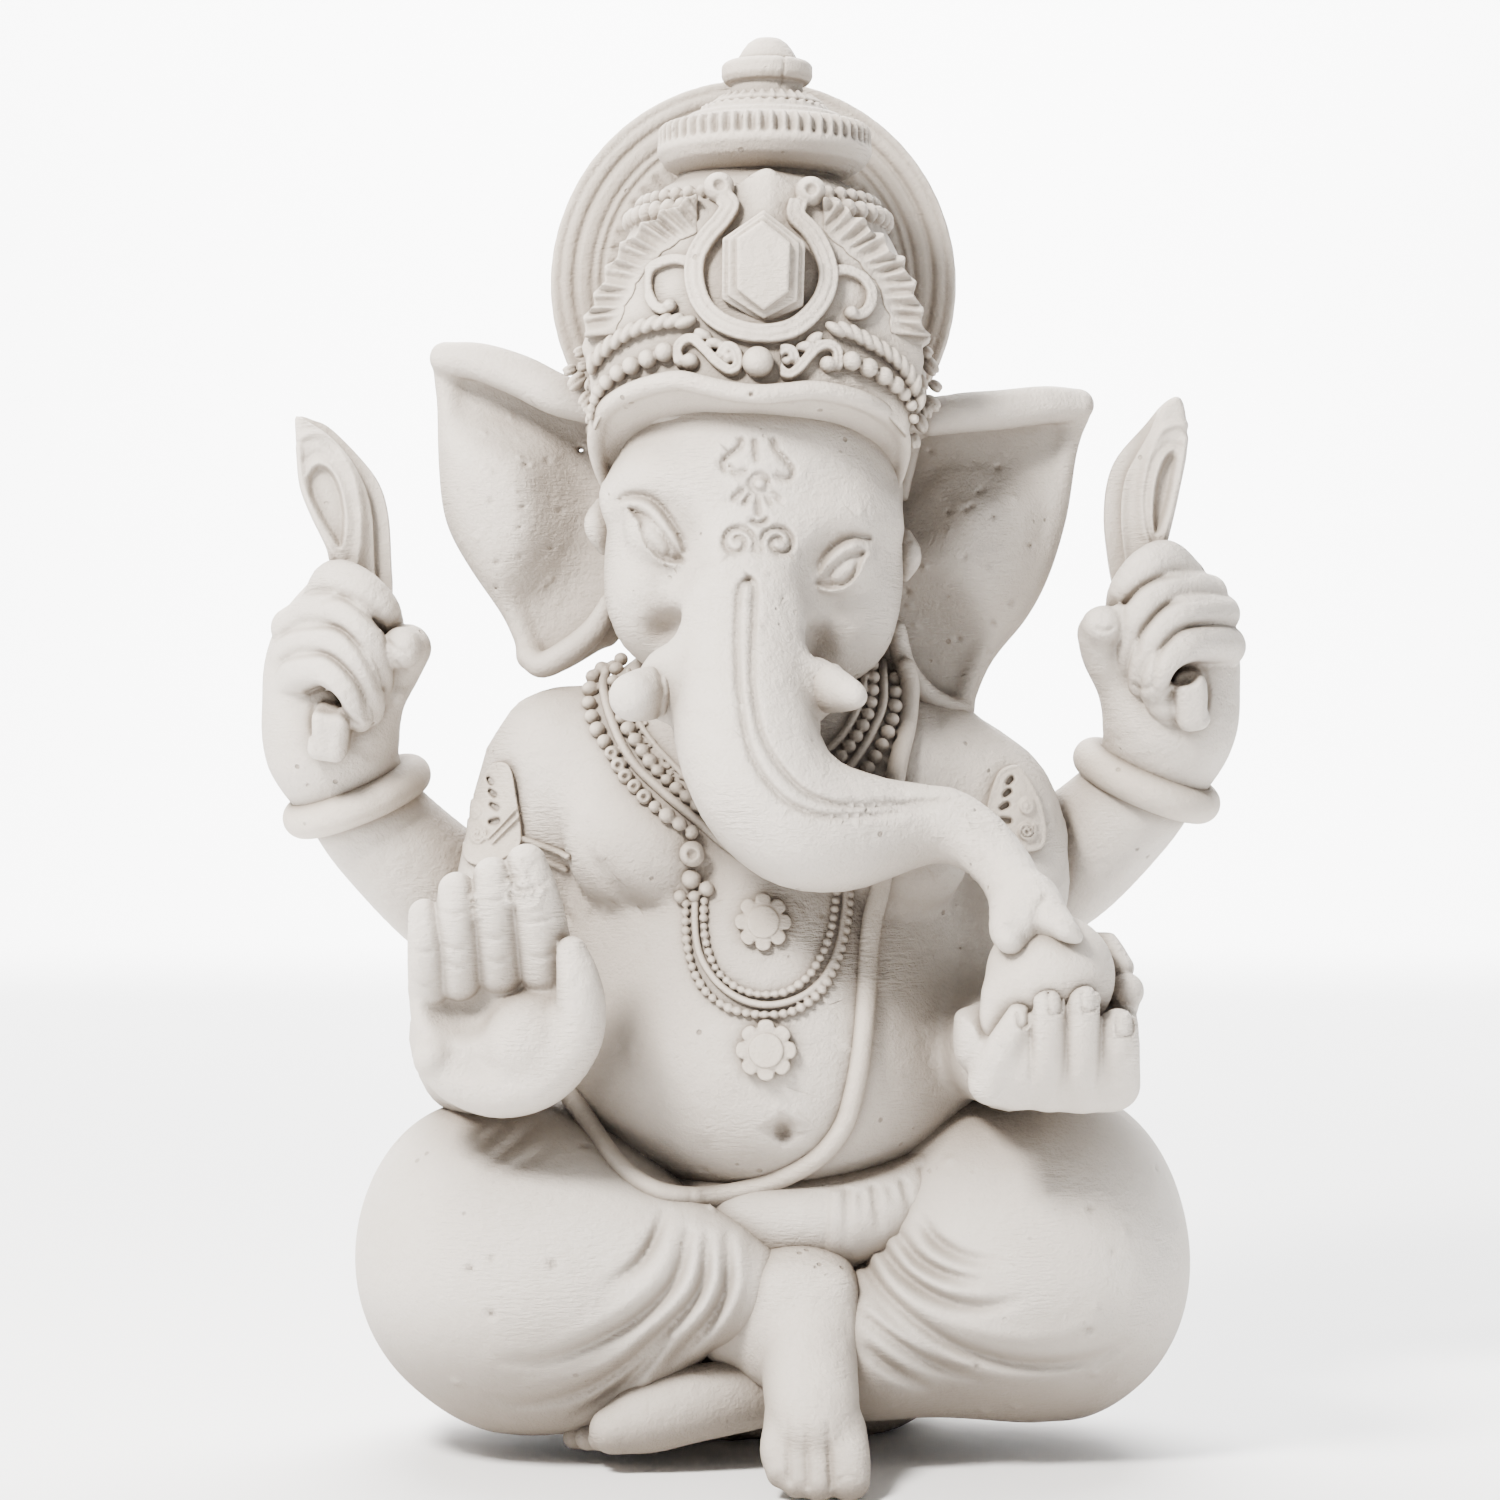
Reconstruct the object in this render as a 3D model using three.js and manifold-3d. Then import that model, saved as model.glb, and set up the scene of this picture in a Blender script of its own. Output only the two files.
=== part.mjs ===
// Seated four-armed elephant-headed idol, cast in white plaster and finished piece by piece.
// Millimetres. +Z is up, the figure faces -Y, and the origin is on the flat underside of the seat.
// Right and left are the figure's own: its right side is at -X.
import * as THREE from "three";
import { mergeVertices } from "three/addons/utils/BufferGeometryUtils.js";
import Module from "manifold-3d";

const wasm = await Module();
wasm.setup();

// ---- Driving dimensions ----------------------------------------------------------------------
const GAP = 0.5; // between neighbouring pieces
const FINEST = 0.18; // detail finer than this is left out
const BODY_X = -1.5; // the axis of the crown, a little right of the seat's centre
const CROWN_BAND_R = 36.8;
const CROWN_FOOT_Z = 187;
const CROWN_RING_Z = 256.5;
const CROWN_RING_R = 21.4;
const CROWN_RING_TEETH = 14;
const HALO_R = 42.4;
const HALO_X = -2.9;
const HALO_Y = 28;
const HALO_Z = 233.2;
const HALO_THICK = 5;
const BEAD_R = 1.5; // the strings on the chest
const COLLAR_BEAD_R = 2.1; // the heavier strings round the neck
const CORD_R = 2.2; // the sacred thread
const FINGER_R = 3.5;
const BANGLE_R = 12.6;
const BANGLE_TUBE_R = 3.3;
const MODAK_R = 12.3;
const FLOWER_R = 6.2;

// ---- Forms: [centre, radii] of the ellipsoids that the figure is built from ---------------------
const TORSO = [
  [[1, -4, 72], [43, 40, 36]],
  [[-2, 1, 108], [41, 32, 34]],
  [[-22, -13, 117], [18, 17, 16]],
  [[18, -13, 117], [18, 17, 16]],
  [[-3, 3, 129], [50, 24, 17]],
  [[-3, 1, 143], [33, 23, 18]],
  [[0, 10, 30], [48, 38, 36]],
  [[-1, 12, 86], [38, 27, 66]],
];
const HEAD = [
  [[-3, -2, 183], [32, 33, 34]],
  [[-3, -12, 186], [27, 26, 26]],
  [[-18, -14, 167], [15, 18, 18]],
  [[13, -14, 166], [14, 18, 17]],
  [[-4, -12, 154], [20, 17, 11]],
];
const RIGHT_LEG = [[[-42, -12, 32], [38, 42, 34]]];
const LEFT_LEG = [[[46, -8, 35], [37, 40, 36]]];

// ---- Geometry helpers --------------------------------------------------------------------------
const point = (p) => new THREE.Vector3(...p);

// A closed three.js geometry as a manifold-3d solid.
function solid(geometry) {
  const bare = geometry.index ? geometry.toNonIndexed() : geometry.clone();
  bare.deleteAttribute("normal");
  bare.deleteAttribute("uv");
  const merged = mergeVertices(bare, 1e-4);
  const index = [...merged.index.array];
  const corners = [];
  for (let i = 0; i < index.length; i += 3) {
    const [a, b, c] = index.slice(i, i + 3);
    if (a !== b && b !== c && a !== c) corners.push(a, b, c);
  }
  return new wasm.Manifold(
    new wasm.Mesh({
      numProp: 3,
      vertProperties: merged.attributes.position.array,
      triVerts: new Uint32Array(corners),
    }),
  );
}

function geometryOf(made) {
  const mesh = made.getMesh();
  return new THREE.BufferGeometry()
    .setAttribute("position", new THREE.BufferAttribute(new Float32Array(mesh.vertProperties), 3))
    .setIndex(new THREE.BufferAttribute(new Uint32Array(mesh.triVerts), 1));
}

const join = (...solids) => solids.reduce((a, b) => a.add(b));

function ellipsoid(at, radii, grow = 0, around = 12) {
  const ball = new THREE.SphereGeometry(1, around, Math.round(around * 0.6));
  return solid(ball.rotateX(Math.PI / 2).scale(...radii.map((r) => r + grow)).translate(...at));
}

const forms = (list, grow, around) => join(...list.map(([at, radii]) => ellipsoid(at, radii, grow,
  around)));

// A round limb along a smooth line, with a radius at each of its points and round ends.
function limb(points, radii, grow = 0, sides = 9, perSpan = 2) {
  const line = new THREE.CatmullRomCurve3(points.map(point), false, "centripetal");
  const spans = points.length - 1;
  const steps = spans * perSpan;
  const frames = line.computeFrenetFrames(steps);
  const ringAt = (i, r, along = 0) => ({
    centre: line.getPointAt(i / steps).addScaledVector(frames.tangents[i], along),
    n: frames.normals[i],
    b: frames.binormals[i],
    r,
  });
  const radiusAt = (i) => {
    const place = line.getUtoTmapping(i / steps) * spans;
    const k = Math.min(Math.floor(place), spans - 1);
    return THREE.MathUtils.lerp(radii[k], radii[k + 1], place - k) + grow;
  };
  const capped = (i, r, sign) => [0.85].map((s) => ringAt(i, r * Math.sqrt(1 - s * s), sign * s * r));
  const rings = capped(0, radiusAt(0), -1);
  for (let i = 0; i <= steps; i++) rings.push(ringAt(i, radiusAt(i)));
  rings.push(...capped(steps, radiusAt(steps), 1).reverse());
  return solid(skin(rings, sides));
}

// Joins rings of points into one closed skin.
function skin(rings, sides) {
  const xyz = [];
  const faces = [];
  for (const { centre, n, b, r } of rings) {
    for (let j = 0; j < sides; j++) {
      const a = (2 * Math.PI * j) / sides;
      const p = centre.clone().addScaledVector(n, r * Math.cos(a)).addScaledVector(b, r * Math.sin(a));
      xyz.push(p.x, p.y, p.z);
    }
  }
  for (let i = 0; i + 1 < rings.length; i++) {
    for (let j = 0; j < sides; j++) {
      const k = (j + 1) % sides;
      const [a, b, c, d] = [i * sides + j, i * sides + k, (i + 1) * sides + k, (i + 1) * sides + j];
      faces.push(a, b, c, a, c, d);
    }
  }
  const last = (rings.length - 1) * sides;
  for (let j = 1; j + 1 < sides; j++) {
    faces.push(0, j + 1, j);
    faces.push(last, last + j, last + j + 1);
  }
  return new THREE.BufferGeometry()
    .setAttribute("position", new THREE.Float32BufferAttribute(xyz, 3))
    .setIndex(faces);
}

// A turned piece: a profile of [radius, z] that starts and ends on the axis.
function turned(profile, x, y, grow = 0, around = 32, squeeze = 1) {
  const low = Math.min(...profile.map((p) => p[1]));
  const high = Math.max(...profile.map((p) => p[1]));
  const stretched = profile.map(([r, z]) => {
    const share = (z - low) / (high - low);
    return new THREE.Vector2(r && r + grow, z + grow * (2 * share - 1));
  });
  const lathe = new THREE.LatheGeometry(stretched, around).rotateX(Math.PI / 2);
  return solid(lathe.scale(1, squeeze, 1).translate(x, y, 0));
}

// A plate with an outline in X and Z, from y = front to y = front + thick.
function plate(outline, front, thick, grow = 0, smooth = true) {
  const shape = new THREE.Shape();
  const corners = outline.map((p) => new THREE.Vector2(...p));
  if (smooth) {
    const line = new THREE.CatmullRomCurve3(corners.map((c) => new THREE.Vector3(c.x, c.y, 0)), true,
      "centripetal");
    shape.setFromPoints(line.getSpacedPoints(corners.length * 2).slice(0,
      -1).map((p) => new THREE.Vector2(p.x, p.y)));
  } else {
    shape.setFromPoints(corners);
  }
  const flat = new THREE.ExtrudeGeometry(shape, {
    depth: thick,
    curveSegments: 4,
    bevelEnabled: grow > 0,
    bevelSize: grow,
    bevelThickness: grow,
    bevelSegments: 1,
  });
  return solid(flat.rotateX(Math.PI / 2).translate(0, front + thick, 0));
}

// A ring round a given direction.
function hoop(at, axis, radius, tube, grow = 0) {
  const turn = new THREE.Quaternion().setFromUnitVectors(new THREE.Vector3(0, 0, 1),
    point(axis).normalize());
  const torus = new THREE.TorusGeometry(radius, tube + grow, 7, 18);
  return solid(torus.applyQuaternion(turn).translate(...at));
}

// Where a line of sight along +Y first meets a group of forms.
function frontOf(list, x, z) {
  let front = Infinity;
  for (const [at, r] of list) {
    const left = 1 - ((x - at[0]) / r[0]) ** 2 - ((z - at[2]) / r[2]) ** 2;
    if (left > 0) front = Math.min(front, at[1] - r[1] * Math.sqrt(left));
  }
  return front;
}

// Evenly spaced points along a smooth line in X and Z.
function along(outline, count) {
  const line = new THREE.CatmullRomCurve3(outline.map(([x, z]) => new THREE.Vector3(x, 0, z)), false,
    "centripetal");
  return line.getSpacedPoints(count);
}

// The line of a round piece of radius r that lies on the front of some forms, just clear of them.
const laidOn = (list, outline, count, r) =>
  along(outline, count).map((p) => {
    const e = 0.5;
    const front = frontOf(list, p.x, p.z);
    const slopeX = (frontOf(list, p.x + e, p.z) - frontOf(list, p.x - e, p.z)) / (2 * e);
    const slopeZ = (frontOf(list, p.x, p.z + e) - frontOf(list, p.x, p.z - e)) / (2 * e);
    const out = (r + 1.3 * GAP) / Math.hypot(slopeX, 1, slopeZ);
    return [p.x + out * slopeX, front - out, p.z + out * slopeZ];
  });

// A string of touching beads as one skin: wide at the middle of each bead and narrow between beads.
function beads(points, r, grow = 0, sides = 6) {
  const line = new THREE.CatmullRomCurve3(points.map(point), false, "centripetal");
  const steps = 2 * points.length;
  const frames = line.computeFrenetFrames(steps);
  const rings = [];
  for (let i = 0; i <= steps; i++) {
    const share = i === 0 || i === steps ? 0.3 : i % 2 ? 1 : 0.55;
    rings.push({ centre: line.getPointAt(i / steps), n: frames.normals[i], b: frames.binormals[i],
      r: share * r + grow });
  }
  return solid(skin(rings, sides));
}

// ---- The assembly ------------------------------------------------------------------------------
const figure = new THREE.Group();
const placed = [];
const FLOOR = solid(new THREE.BoxGeometry(400, 400, 100).translate(0, 0, -50));
const plaster = {
  skin: new THREE.MeshStandardMaterial({ color: 0xe8e4dd, roughness: 0.72, metalness: 0 }),
  cloth: new THREE.MeshStandardMaterial({ color: 0xe6e2db, roughness: 0.74, metalness: 0 }),
  crown: new THREE.MeshStandardMaterial({ color: 0xe9e5de, roughness: 0.72, metalness: 0 }),
  jewellery: new THREE.MeshStandardMaterial({ color: 0xe7e2da, roughness: 0.7, metalness: 0 }),
  held: new THREE.MeshStandardMaterial({ color: 0xe8e3dc, roughness: 0.7, metalness: 0 }),
};

// Adds one piece. Each piece gives way to those before it, and keeps the gap to them.
function place(name, material, make) {
  let made = make(0).subtract(FLOOR);
  for (const earlier of placed) {
    const [a, b] = [made.boundingBox(), earlier.box];
    const apart = [0, 1, 2].some((k) => a.min[k] > b.max[k] || a.max[k] < b.min[k]);
    if (!apart) made = made.subtract((earlier.grown ??= earlier.make(GAP)));
  }
  const largest = made.simplify(FINEST).decompose().sort((a, b) => b.volume() - a.volume())[0];
  const mesh = new THREE.Mesh(geometryOf(largest), material);
  mesh.name = name;
  figure.add(mesh);
  placed.push({ make, box: make(GAP).boundingBox() });
}

// Figure: torso, head and trunk.
const TRUNK_DROP = [[-3.5, -22, 176], [-3.4, -37, 160], [-3.8, -43, 145], [-2.6, -47, 133],
  [-0.5, -48, 125]];
const TRUNK_DROP_R = [13, 13.5, 13.5, 12.5, 11.5];
const TRUNK_SWEEP = [[-1, -48, 125], [11, -46, 121], [25, -44, 122], [36, -46, 121],
  [43.5, -50.5, 115.5], [48, -56, 103]];
const TRUNK_SWEEP_R = [11.5, 11.2, 8.9, 7.3, 6.6, 5.8];
place("torso", plaster.skin, (g) => forms(TORSO, g, 14));
place("head", plaster.skin, (g) => forms(HEAD, g, 14));
place("modak_sweet", plaster.held, (g) => ellipsoid([52, -56, 92.7], [MODAK_R, MODAK_R, MODAK_R], g));
place("trunk", plaster.skin, (g) =>
  join(limb(TRUNK_DROP, TRUNK_DROP_R, g, 11), limb(TRUNK_SWEEP, TRUNK_SWEEP_R, g, 11)));
place("tusk_right", plaster.skin, (g) => limb([[-12, -40, 150], [-23, -46, 146], [-26, -48, 144.5]],
  [6, 5.6, 5], g));
place("tusk_left", plaster.skin, (g) => limb([[5, -40, 152], [11, -44, 149], [17, -49, 146]], [6, 5, 3],
  g));
place("eye_right", plaster.skin, (g) => ellipsoid([-21.5, -30.5, 177.5], [6.2, 4.4, 3.8], g, 12));
place("eye_left", plaster.skin, (g) => ellipsoid([14.7, -31, 171.5], [6, 4.4, 3.6], g, 12));

// Ears: thick plates that flare from the sides of the head.
const EAR_RIGHT = [
  [-38, 208], [-52, 214], [-65, 217], [-66, 206], [-63, 179], [-53, 164], [-47, 152], [-40, 151],
    [-26, 160], [-24, 190],
];
const EAR_LEFT = [
  [32, 206], [49, 207], [63, 208], [61, 198], [57, 178], [47, 159], [39.5, 145], [38, 139], [23, 155],
    [20, 190],
];
for (const [side, outline, hub] of [["right", EAR_RIGHT, [-44, 4, 183]],
  ["left", EAR_LEFT, [42, 4, 180]]]) {
  place(`ear_${side}`, plaster.skin, (g) =>
    join(plate(outline, 1, 6, g), ellipsoid(hub, [17, 7.5, 24], g),
      ellipsoid([hub[0] * 1.22, 3, 207], [14, 6, 5.5], g)));
}

// Crown: a bell over the head, a toothed ring, a cap and a finial, with a halo behind.
const BELL_X = BODY_X - 0.8;
const BELL = [
  [0, CROWN_FOOT_Z], [34.5, CROWN_FOOT_Z], [CROWN_BAND_R - 0.6, 198], [CROWN_BAND_R, 208], [36, 218],
    [33, 229],
  [28, 239], [21.5, 246.5], [15.5, 251], [0, 251],
];
const RING = [
  [0, CROWN_RING_Z - 5], [15.5, CROWN_RING_Z - 5], [19, CROWN_RING_Z - 3.4],
    [CROWN_RING_R - 1, CROWN_RING_Z],
  [CROWN_RING_R - 2, CROWN_RING_Z + 4.2], [16.5, CROWN_RING_Z + 5], [0, CROWN_RING_Z + 5],
];
const CAP = [[0, 262], [16.8, 262], [16, 264], [11.8, 264.4], [11.2, 266], [7, 266.4], [7, 268.4],
  [0, 268.4]];
const FINIAL = [
  [0, 268.9], [8.4, 268.9], [9, 270], [9, 272.8], [8.2, 273.6], [6.4, 273.8], [5.6, 276], [3.2, 278],
    [0, 278.4],
];
const BAND_LINE = [
  [-35.4, -15, 187.5], [-30, -28, 197], [-17, -38, 202.5], [-2, -41.5, 201.5], [13, -38, 202.5],
    [25, -28, 197],
  [31, -15, 187.5],
];
place("halo_disc", plaster.crown, (g) => {
  const disc = [[0, -HALO_THICK / 2], [HALO_R, -HALO_THICK / 2], [HALO_R, HALO_THICK / 2],
    [0, HALO_THICK / 2]];
  const stretched = disc.map(([r, h]) => new THREE.Vector2(r && r + g, h + Math.sign(h) * g));
  return solid(new THREE.LatheGeometry(stretched, 48).translate(HALO_X, HALO_Y, HALO_Z));
});
place("crown_bell", plaster.crown, (g) => turned(BELL, BELL_X, -1, g, 22, 0.97));
place("crown_ring", plaster.crown, (g) => {
  const fluted = Array.from({ length: 4 * CROWN_RING_TEETH }, (_, i) => {
    const a = (Math.PI * i) / (2 * CROWN_RING_TEETH);
    const r = CROWN_RING_R - (i % 4 < 2 ? 0 : 1.6) + g;
    return new THREE.Vector2(r * Math.cos(a), r * Math.sin(a));
  });
  const band = new THREE.ExtrudeGeometry(new THREE.Shape(fluted),
    { depth: 5 + 2 * g, bevelEnabled: false });
  return join(
    turned(RING, BODY_X + 0.9, 0, g, 16),
    solid(band.translate(BODY_X + 0.9, 0, CROWN_RING_Z - 0.6 - g)),
  );
});
place("crown_cap", plaster.crown, (g) => turned(CAP, BODY_X + 1.2, 0, g, 16));
place("crown_finial", plaster.crown, (g) => turned(FINIAL, BODY_X + 1.5, 0, g, 14));
place("crown_brow_band", plaster.crown, (g) => limb(BAND_LINE, BAND_LINE.map(() => 2.4), g, 10));

// The crown's front: a leaf-edged plate, a gem in a horseshoe frame, and a bead row each side with
// a rope above it.
const bellRadius = (z) => {
  const k = BELL.findIndex((p, i) => i > 1 && p[1] >= z);
  const [[r0, z0], [r1, z1]] = [BELL[k - 1], BELL[k]];
  return THREE.MathUtils.lerp(r0, r1, (z - z0) / (z1 - z0));
};
// The line of a round piece of radius r that lies on the front of the bell, just clear of it.
const onBell = (outline, count, r) =>
  along(outline, count).map((p) => {
    const slope = (bellRadius(p.z + 1) - bellRadius(p.z - 1)) / 2;
    const out = (r + 1.3 * GAP) / Math.hypot(1, slope);
    const turn = Math.asin(THREE.MathUtils.clamp((p.x - BELL_X) / bellRadius(p.z), -0.97, 0.97));
    const far = bellRadius(p.z) + out;
    return [BELL_X + far * Math.sin(turn), -1 - 0.97 * far * Math.cos(turn), p.z - out * slope];
  });
const GEM = [[0, 11.4], [5.6, 6.4], [5.6, -6.4], [0, -11.4], [-5.6, -6.4], [-5.6, 6.4]];
const GEM_AT = [-0.6, 228.5];
place("crown_gem", plaster.jewellery, (g) =>
  plate(GEM.map(([x, z]) => [x + GEM_AT[0], z + GEM_AT[1]]), -39, 9, g, false));
const FRAME = [[-7, 241.5], [-9.5, 236], [-13.4, 228], [-11, 219], [-0.6, 213.6], [10, 219], [12.4, 228],
  [8.4, 236], [6, 241.5]];
place("crown_gem_frame", plaster.crown, (g) => {
  const points = onBell(FRAME, 14, 1.9);
  return limb(points, points.map(() => 1.9), g, 8, 1);
});
for (const [side, sign] of [["right", -1], ["left", 1]]) {
  const mirrored = (outline) => outline.map(([x, z]) => [BELL_X + sign * x, z]);
  place(`crown_bead_row_${side}`, plaster.jewellery, (g) =>
    beads(onBell(mirrored([[13.5, 211.4], [24, 206.5], [31, 198.5], [34, 190.5]]), 9, 1.75), 1.75, g));
  place(`crown_rope_${side}`, plaster.jewellery, (g) => {
    const points = onBell(mirrored([[9.5, 213.6], [20, 214], [29, 207], [34.2, 196]]), 8, 1.5);
    return limb(points, points.map(() => 1.5), g, 8, 1);
  });
  place(`crown_scroll_${side}`, plaster.crown, (g) => {
    const points = onBell(mirrored([[13.8, 227.5], [20, 227], [22.6, 223], [21, 219.4], [18.6, 218.8]]),
      8, 1.6);
    return limb(points, points.map((p, i) => 1.2 + 0.05 * i), g, 8, 1);
  });
  place(`crown_leaf_border_${side}`, plaster.crown, (g) => {
    const points = onBell(mirrored([[7, 242.8], [18, 238.5], [27, 229], [32.4, 217], [35.2, 203]]), 10,
      2.3);
    return limb(points, points.map(() => 2.3), g, 8, 1);
  });
}
place("crown_centre_bead", plaster.jewellery, (g) => ellipsoid([-1.9, -40.2, 209.2], [3.1, 3.1, 3.1], g,
  14));

// Legs, feet and the cloth between them.
place("leg_right", plaster.cloth, (g) =>
  join(forms(RIGHT_LEG, g, 16), limb([[-44, -30, 22], [-24, -44, 24], [-10, -47, 27]], [22, 16, 12], g)));
place("leg_left", plaster.cloth, (g) =>
  join(forms(LEFT_LEG, g, 16), limb([[48, -26, 26], [28, -38, 23], [16, -40, 20]], [22, 16, 12], g)));
place("foot_right", plaster.skin, (g) => {
  const toes = [0, 1, 2, 3, 4].map((i) => [[13 - 3.1 * i, -58 + 0.6 * i, 6.4],
    [14.6 - 3.2 * i, -66.4 + 0.8 * i, 3.6]]);
  return join(
    limb([[-6, -46, 27], [5, -44, 26]], [8.5, 10.5], g),
    limb([[6, -42, 25], [8.5, -53, 14], [9.6, -60, 7.5]], [11.5, 9.6, 7], g),
    ...toes.map((line, i) => limb(line, [2.7 - 0.2 * i, 2.5 - 0.2 * i], g, 7, 1)),
  );
});
place("foot_left", plaster.skin, (g) => limb([[2, -30, 14], [-16, -36, 10.5], [-30, -40, 7.4]],
  [9, 8, 6], g));
place("waist_cloth", plaster.cloth, (g) => limb([[-16, -24, 44], [5, -27, 42], [27, -24, 46]],
  [10, 11, 10], g));

// Arms. The front pair bends at the elbow, and the rear pair is raised.
place("front_arm_right", plaster.skin, (g) =>
  join(
    limb([[-42, 4, 127], [-54, 3, 110], [-61.5, -5, 80]], [14.5, 13, 10.8], g, 10),
    limb([[-61.5, -5, 80], [-57, -24, 71], [-51, -41, 71]], [10.8, 10.2, 9.6], g, 10),
  ));
place("front_arm_left", plaster.skin, (g) =>
  join(
    limb([[39, 4, 127], [49, 2, 110], [54, -6, 90]], [14.5, 14, 12.4], g, 10),
    limb([[54, -6, 90], [51, -26, 80], [51, -42, 78]], [12.4, 11, 9.8], g, 10),
  ));
place("rear_arm_right", plaster.skin, (g) =>
  limb([[-48, 20, 102], [-67.5, 14, 113], [-80.5, 9, 123.5], [-88, 4, 138]], [14, 13, 13, 11.2], g, 10));
place("rear_arm_left", plaster.skin, (g) =>
  limb([[46, 20, 103], [62.5, 14, 114.5], [72, 10, 124], [80.8, 4, 138]], [14.5, 13.6, 12.6, 10.6], g,
    10));
place("bangle_right", plaster.jewellery, (g) => hoop([-83.2, 7.5, 124.6], [-0.38, -0.2, 0.9], BANGLE_R,
  BANGLE_TUBE_R, g));
place("bangle_left", plaster.jewellery, (g) => hoop([76.8, 7.5, 130], [0.38, -0.2, 0.9], BANGLE_R - 0.4,
  BANGLE_TUBE_R, g));
const ARMLET_LEAF = [[0, 13], [5.4, 5], [6.8, -3], [3.6, -10], [-3.6, -10], [-6.8, -3], [-5.4, 5]];
for (const [side, x, z, sign] of [["right", -55, 108, 1], ["left", 50, 109, -1]]) {
  const lean = 0.5 * sign;
  const leaf = ARMLET_LEAF.map(([u, w]) => [
    x + u * Math.cos(lean) + w * Math.sin(lean),
    z - u * Math.sin(lean) + w * Math.cos(lean),
  ]);
  place(`armlet_${side}`, plaster.jewellery, (g) =>
    join(
      plate(leaf, -15, 12, g),
      hoop([x + 1.5 * sign, 2, z + 1], [-0.45 * sign, 0, 0.9], 13.6, 2, g),
    ));
}

// What the rear hands hold: a curved blade-shaped emblem on a short round handle.
const BLADE_RIGHT = [[-93.3, 203.4], [-87.5, 198], [-80.5, 190.5], [-77, 179], [-76.8, 166], [-84, 158],
  [-88, 172], [-91.5, 181], [-94, 192]];
const BLADE_LEFT = [[82.3, 206], [76, 200], [69, 191.5], [67.2, 179], [69.5, 166], [77, 158],
  [79.4, 174], [82.6, 184], [83.6, 195]];
place("emblem_right", plaster.held, (g) =>
  join(plate(BLADE_RIGHT, -5, 10, g), limb([[-83, -3, 160], [-84.6, -11, 140.5]], [5, 5], g)));
place("emblem_left", plaster.held, (g) =>
  join(plate(BLADE_LEFT, -5, 10, g), limb([[77, -3, 160], [82.4, -11, 144.5]], [5, 5], g)));

// Hands. Each finger is a limb that joins the palm.
const fingers = (list, g) => list.map((line, i) => limb(line, line.map(() => FINGER_R - 0.15 * i), g, 6,
  1));
place("blessing_hand", plaster.skin, (g) =>
  join(
    ellipsoid([-49.5, -47.5, 84], [17, 8, 17], g, 20),
    limb([[-38, -47, 74], [-32.8, -54, 87], [-35.6, -58, 97]], [6, 5, 3.4], g, 7, 1),
    ...fingers([
      [[-43, -50, 92], [-42.8, -53, 98], [-44.4, -56, 114.6]],
        [[-49.5, -50, 92], [-49.5, -53, 98], [-50.3, -56, 112]],
      [[-56, -50, 90], [-56, -53, 95], [-57, -56, 109.6]], [[-61.5, -49, 86], [-62.4, -52, 92],
        [-62.6, -55, 106.6]],
    ], g)));
place("offering_hand", plaster.skin, (g) =>
  join(
    ellipsoid([54, -52, 76.5], [16, 11, 9], g, 20),
    limb([[44, -40, 80], [41, -50, 79], [46, -58, 76]], [5, 6, 6], g, 7, 1),
    limb([[64, -46, 80], [67, -50, 86], [67.2, -52, 91]], [5, 4.4, 3.8], g, 7, 1),
    ...fingers([
      [[64, -58, 70.5], [65, -65, 77], [64.4, -65, 86]], [[57.6, -60, 70.5], [57.8, -68, 78],
        [56.8, -67, 90]],
      [[51.4, -60, 71], [51.4, -68, 78], [50.8, -67, 90]], [[46.5, -59, 73.5], [45.4, -65, 79],
        [44.8, -64.6, 86]],
    ], g)));
for (const [side, x, z, sign] of [["right", -87, 155, 1], ["left", 81, 156.5, -1]]) {
  place(`rear_hand_${side}`, plaster.skin, (g) =>
    join(
      ellipsoid([x - 2 * sign, 2, z - 1], [11, 9, 15], g, 12),
      ellipsoid([x - 2 * sign, 2.5, z - 15], [11, 10, 9], g, 12),
      limb([[x + 4 * sign, 0, z - 8], [x + 11 * sign, -3, z - 2], [x + 13.6 * sign, -5, z + 2.6]],
        [5, 4.6, 4.2], g, 7, 1),
      ...[0, 1, 2, 3].map((i) => {
        const drop = 5.6 * i;
        return limb([
          [x - 9 * sign + 0.8 * i * sign, -3, z + 9 - drop],
          [x - 1 * sign - 1.2 * i * sign, -12.5, z + 10 - drop],
          [x + 7 * sign - 0.6 * i * sign, -8.5, z + 4 - drop],
        ], [4.4, 4, 3.4], g, 6, 1);
      }),
    ));
}

// Jewellery that lies on the torso.
const COLLAR_RIGHT = [[-32, 148], [-28.5, 138], [-24.5, 129], [-19, 123.5], [-13.5, 120]];
const COLLAR_LEFT = [[28, 148], [25.5, 139], [20, 131], [14, 126]];
const shifted = (outline, dx, dz) => outline.map(([x, z]) => [x + dx, z + dz]);
for (const [side, outline, sign] of [["right", COLLAR_RIGHT, 1], ["left", COLLAR_LEFT, -1]]) {
  place(`collar_beads_outer_${side}`, plaster.jewellery, (g) => beads(laidOn(TORSO, outline, 9,
    COLLAR_BEAD_R), COLLAR_BEAD_R, g));
  place(`collar_beads_inner_${side}`, plaster.jewellery, (g) =>
    beads(laidOn(TORSO, shifted(outline, 6.2 * sign, 2.4), 8, COLLAR_BEAD_R - 0.3), COLLAR_BEAD_R - 0.3,
      g));
}
place("collar_drop", plaster.jewellery, (g) => beads(laidOn(TORSO,
  [[-15, 116], [-15.2, 111], [-15.4, 107]], 2, 2.7), 2.7, g));
const LOOP = [[-15, 103.5], [-13.4, 96], [-8, 89], [-0.6, 87], [7, 89.5], [12.6, 96.5], [15.5, 106],
  [16, 112]];
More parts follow.
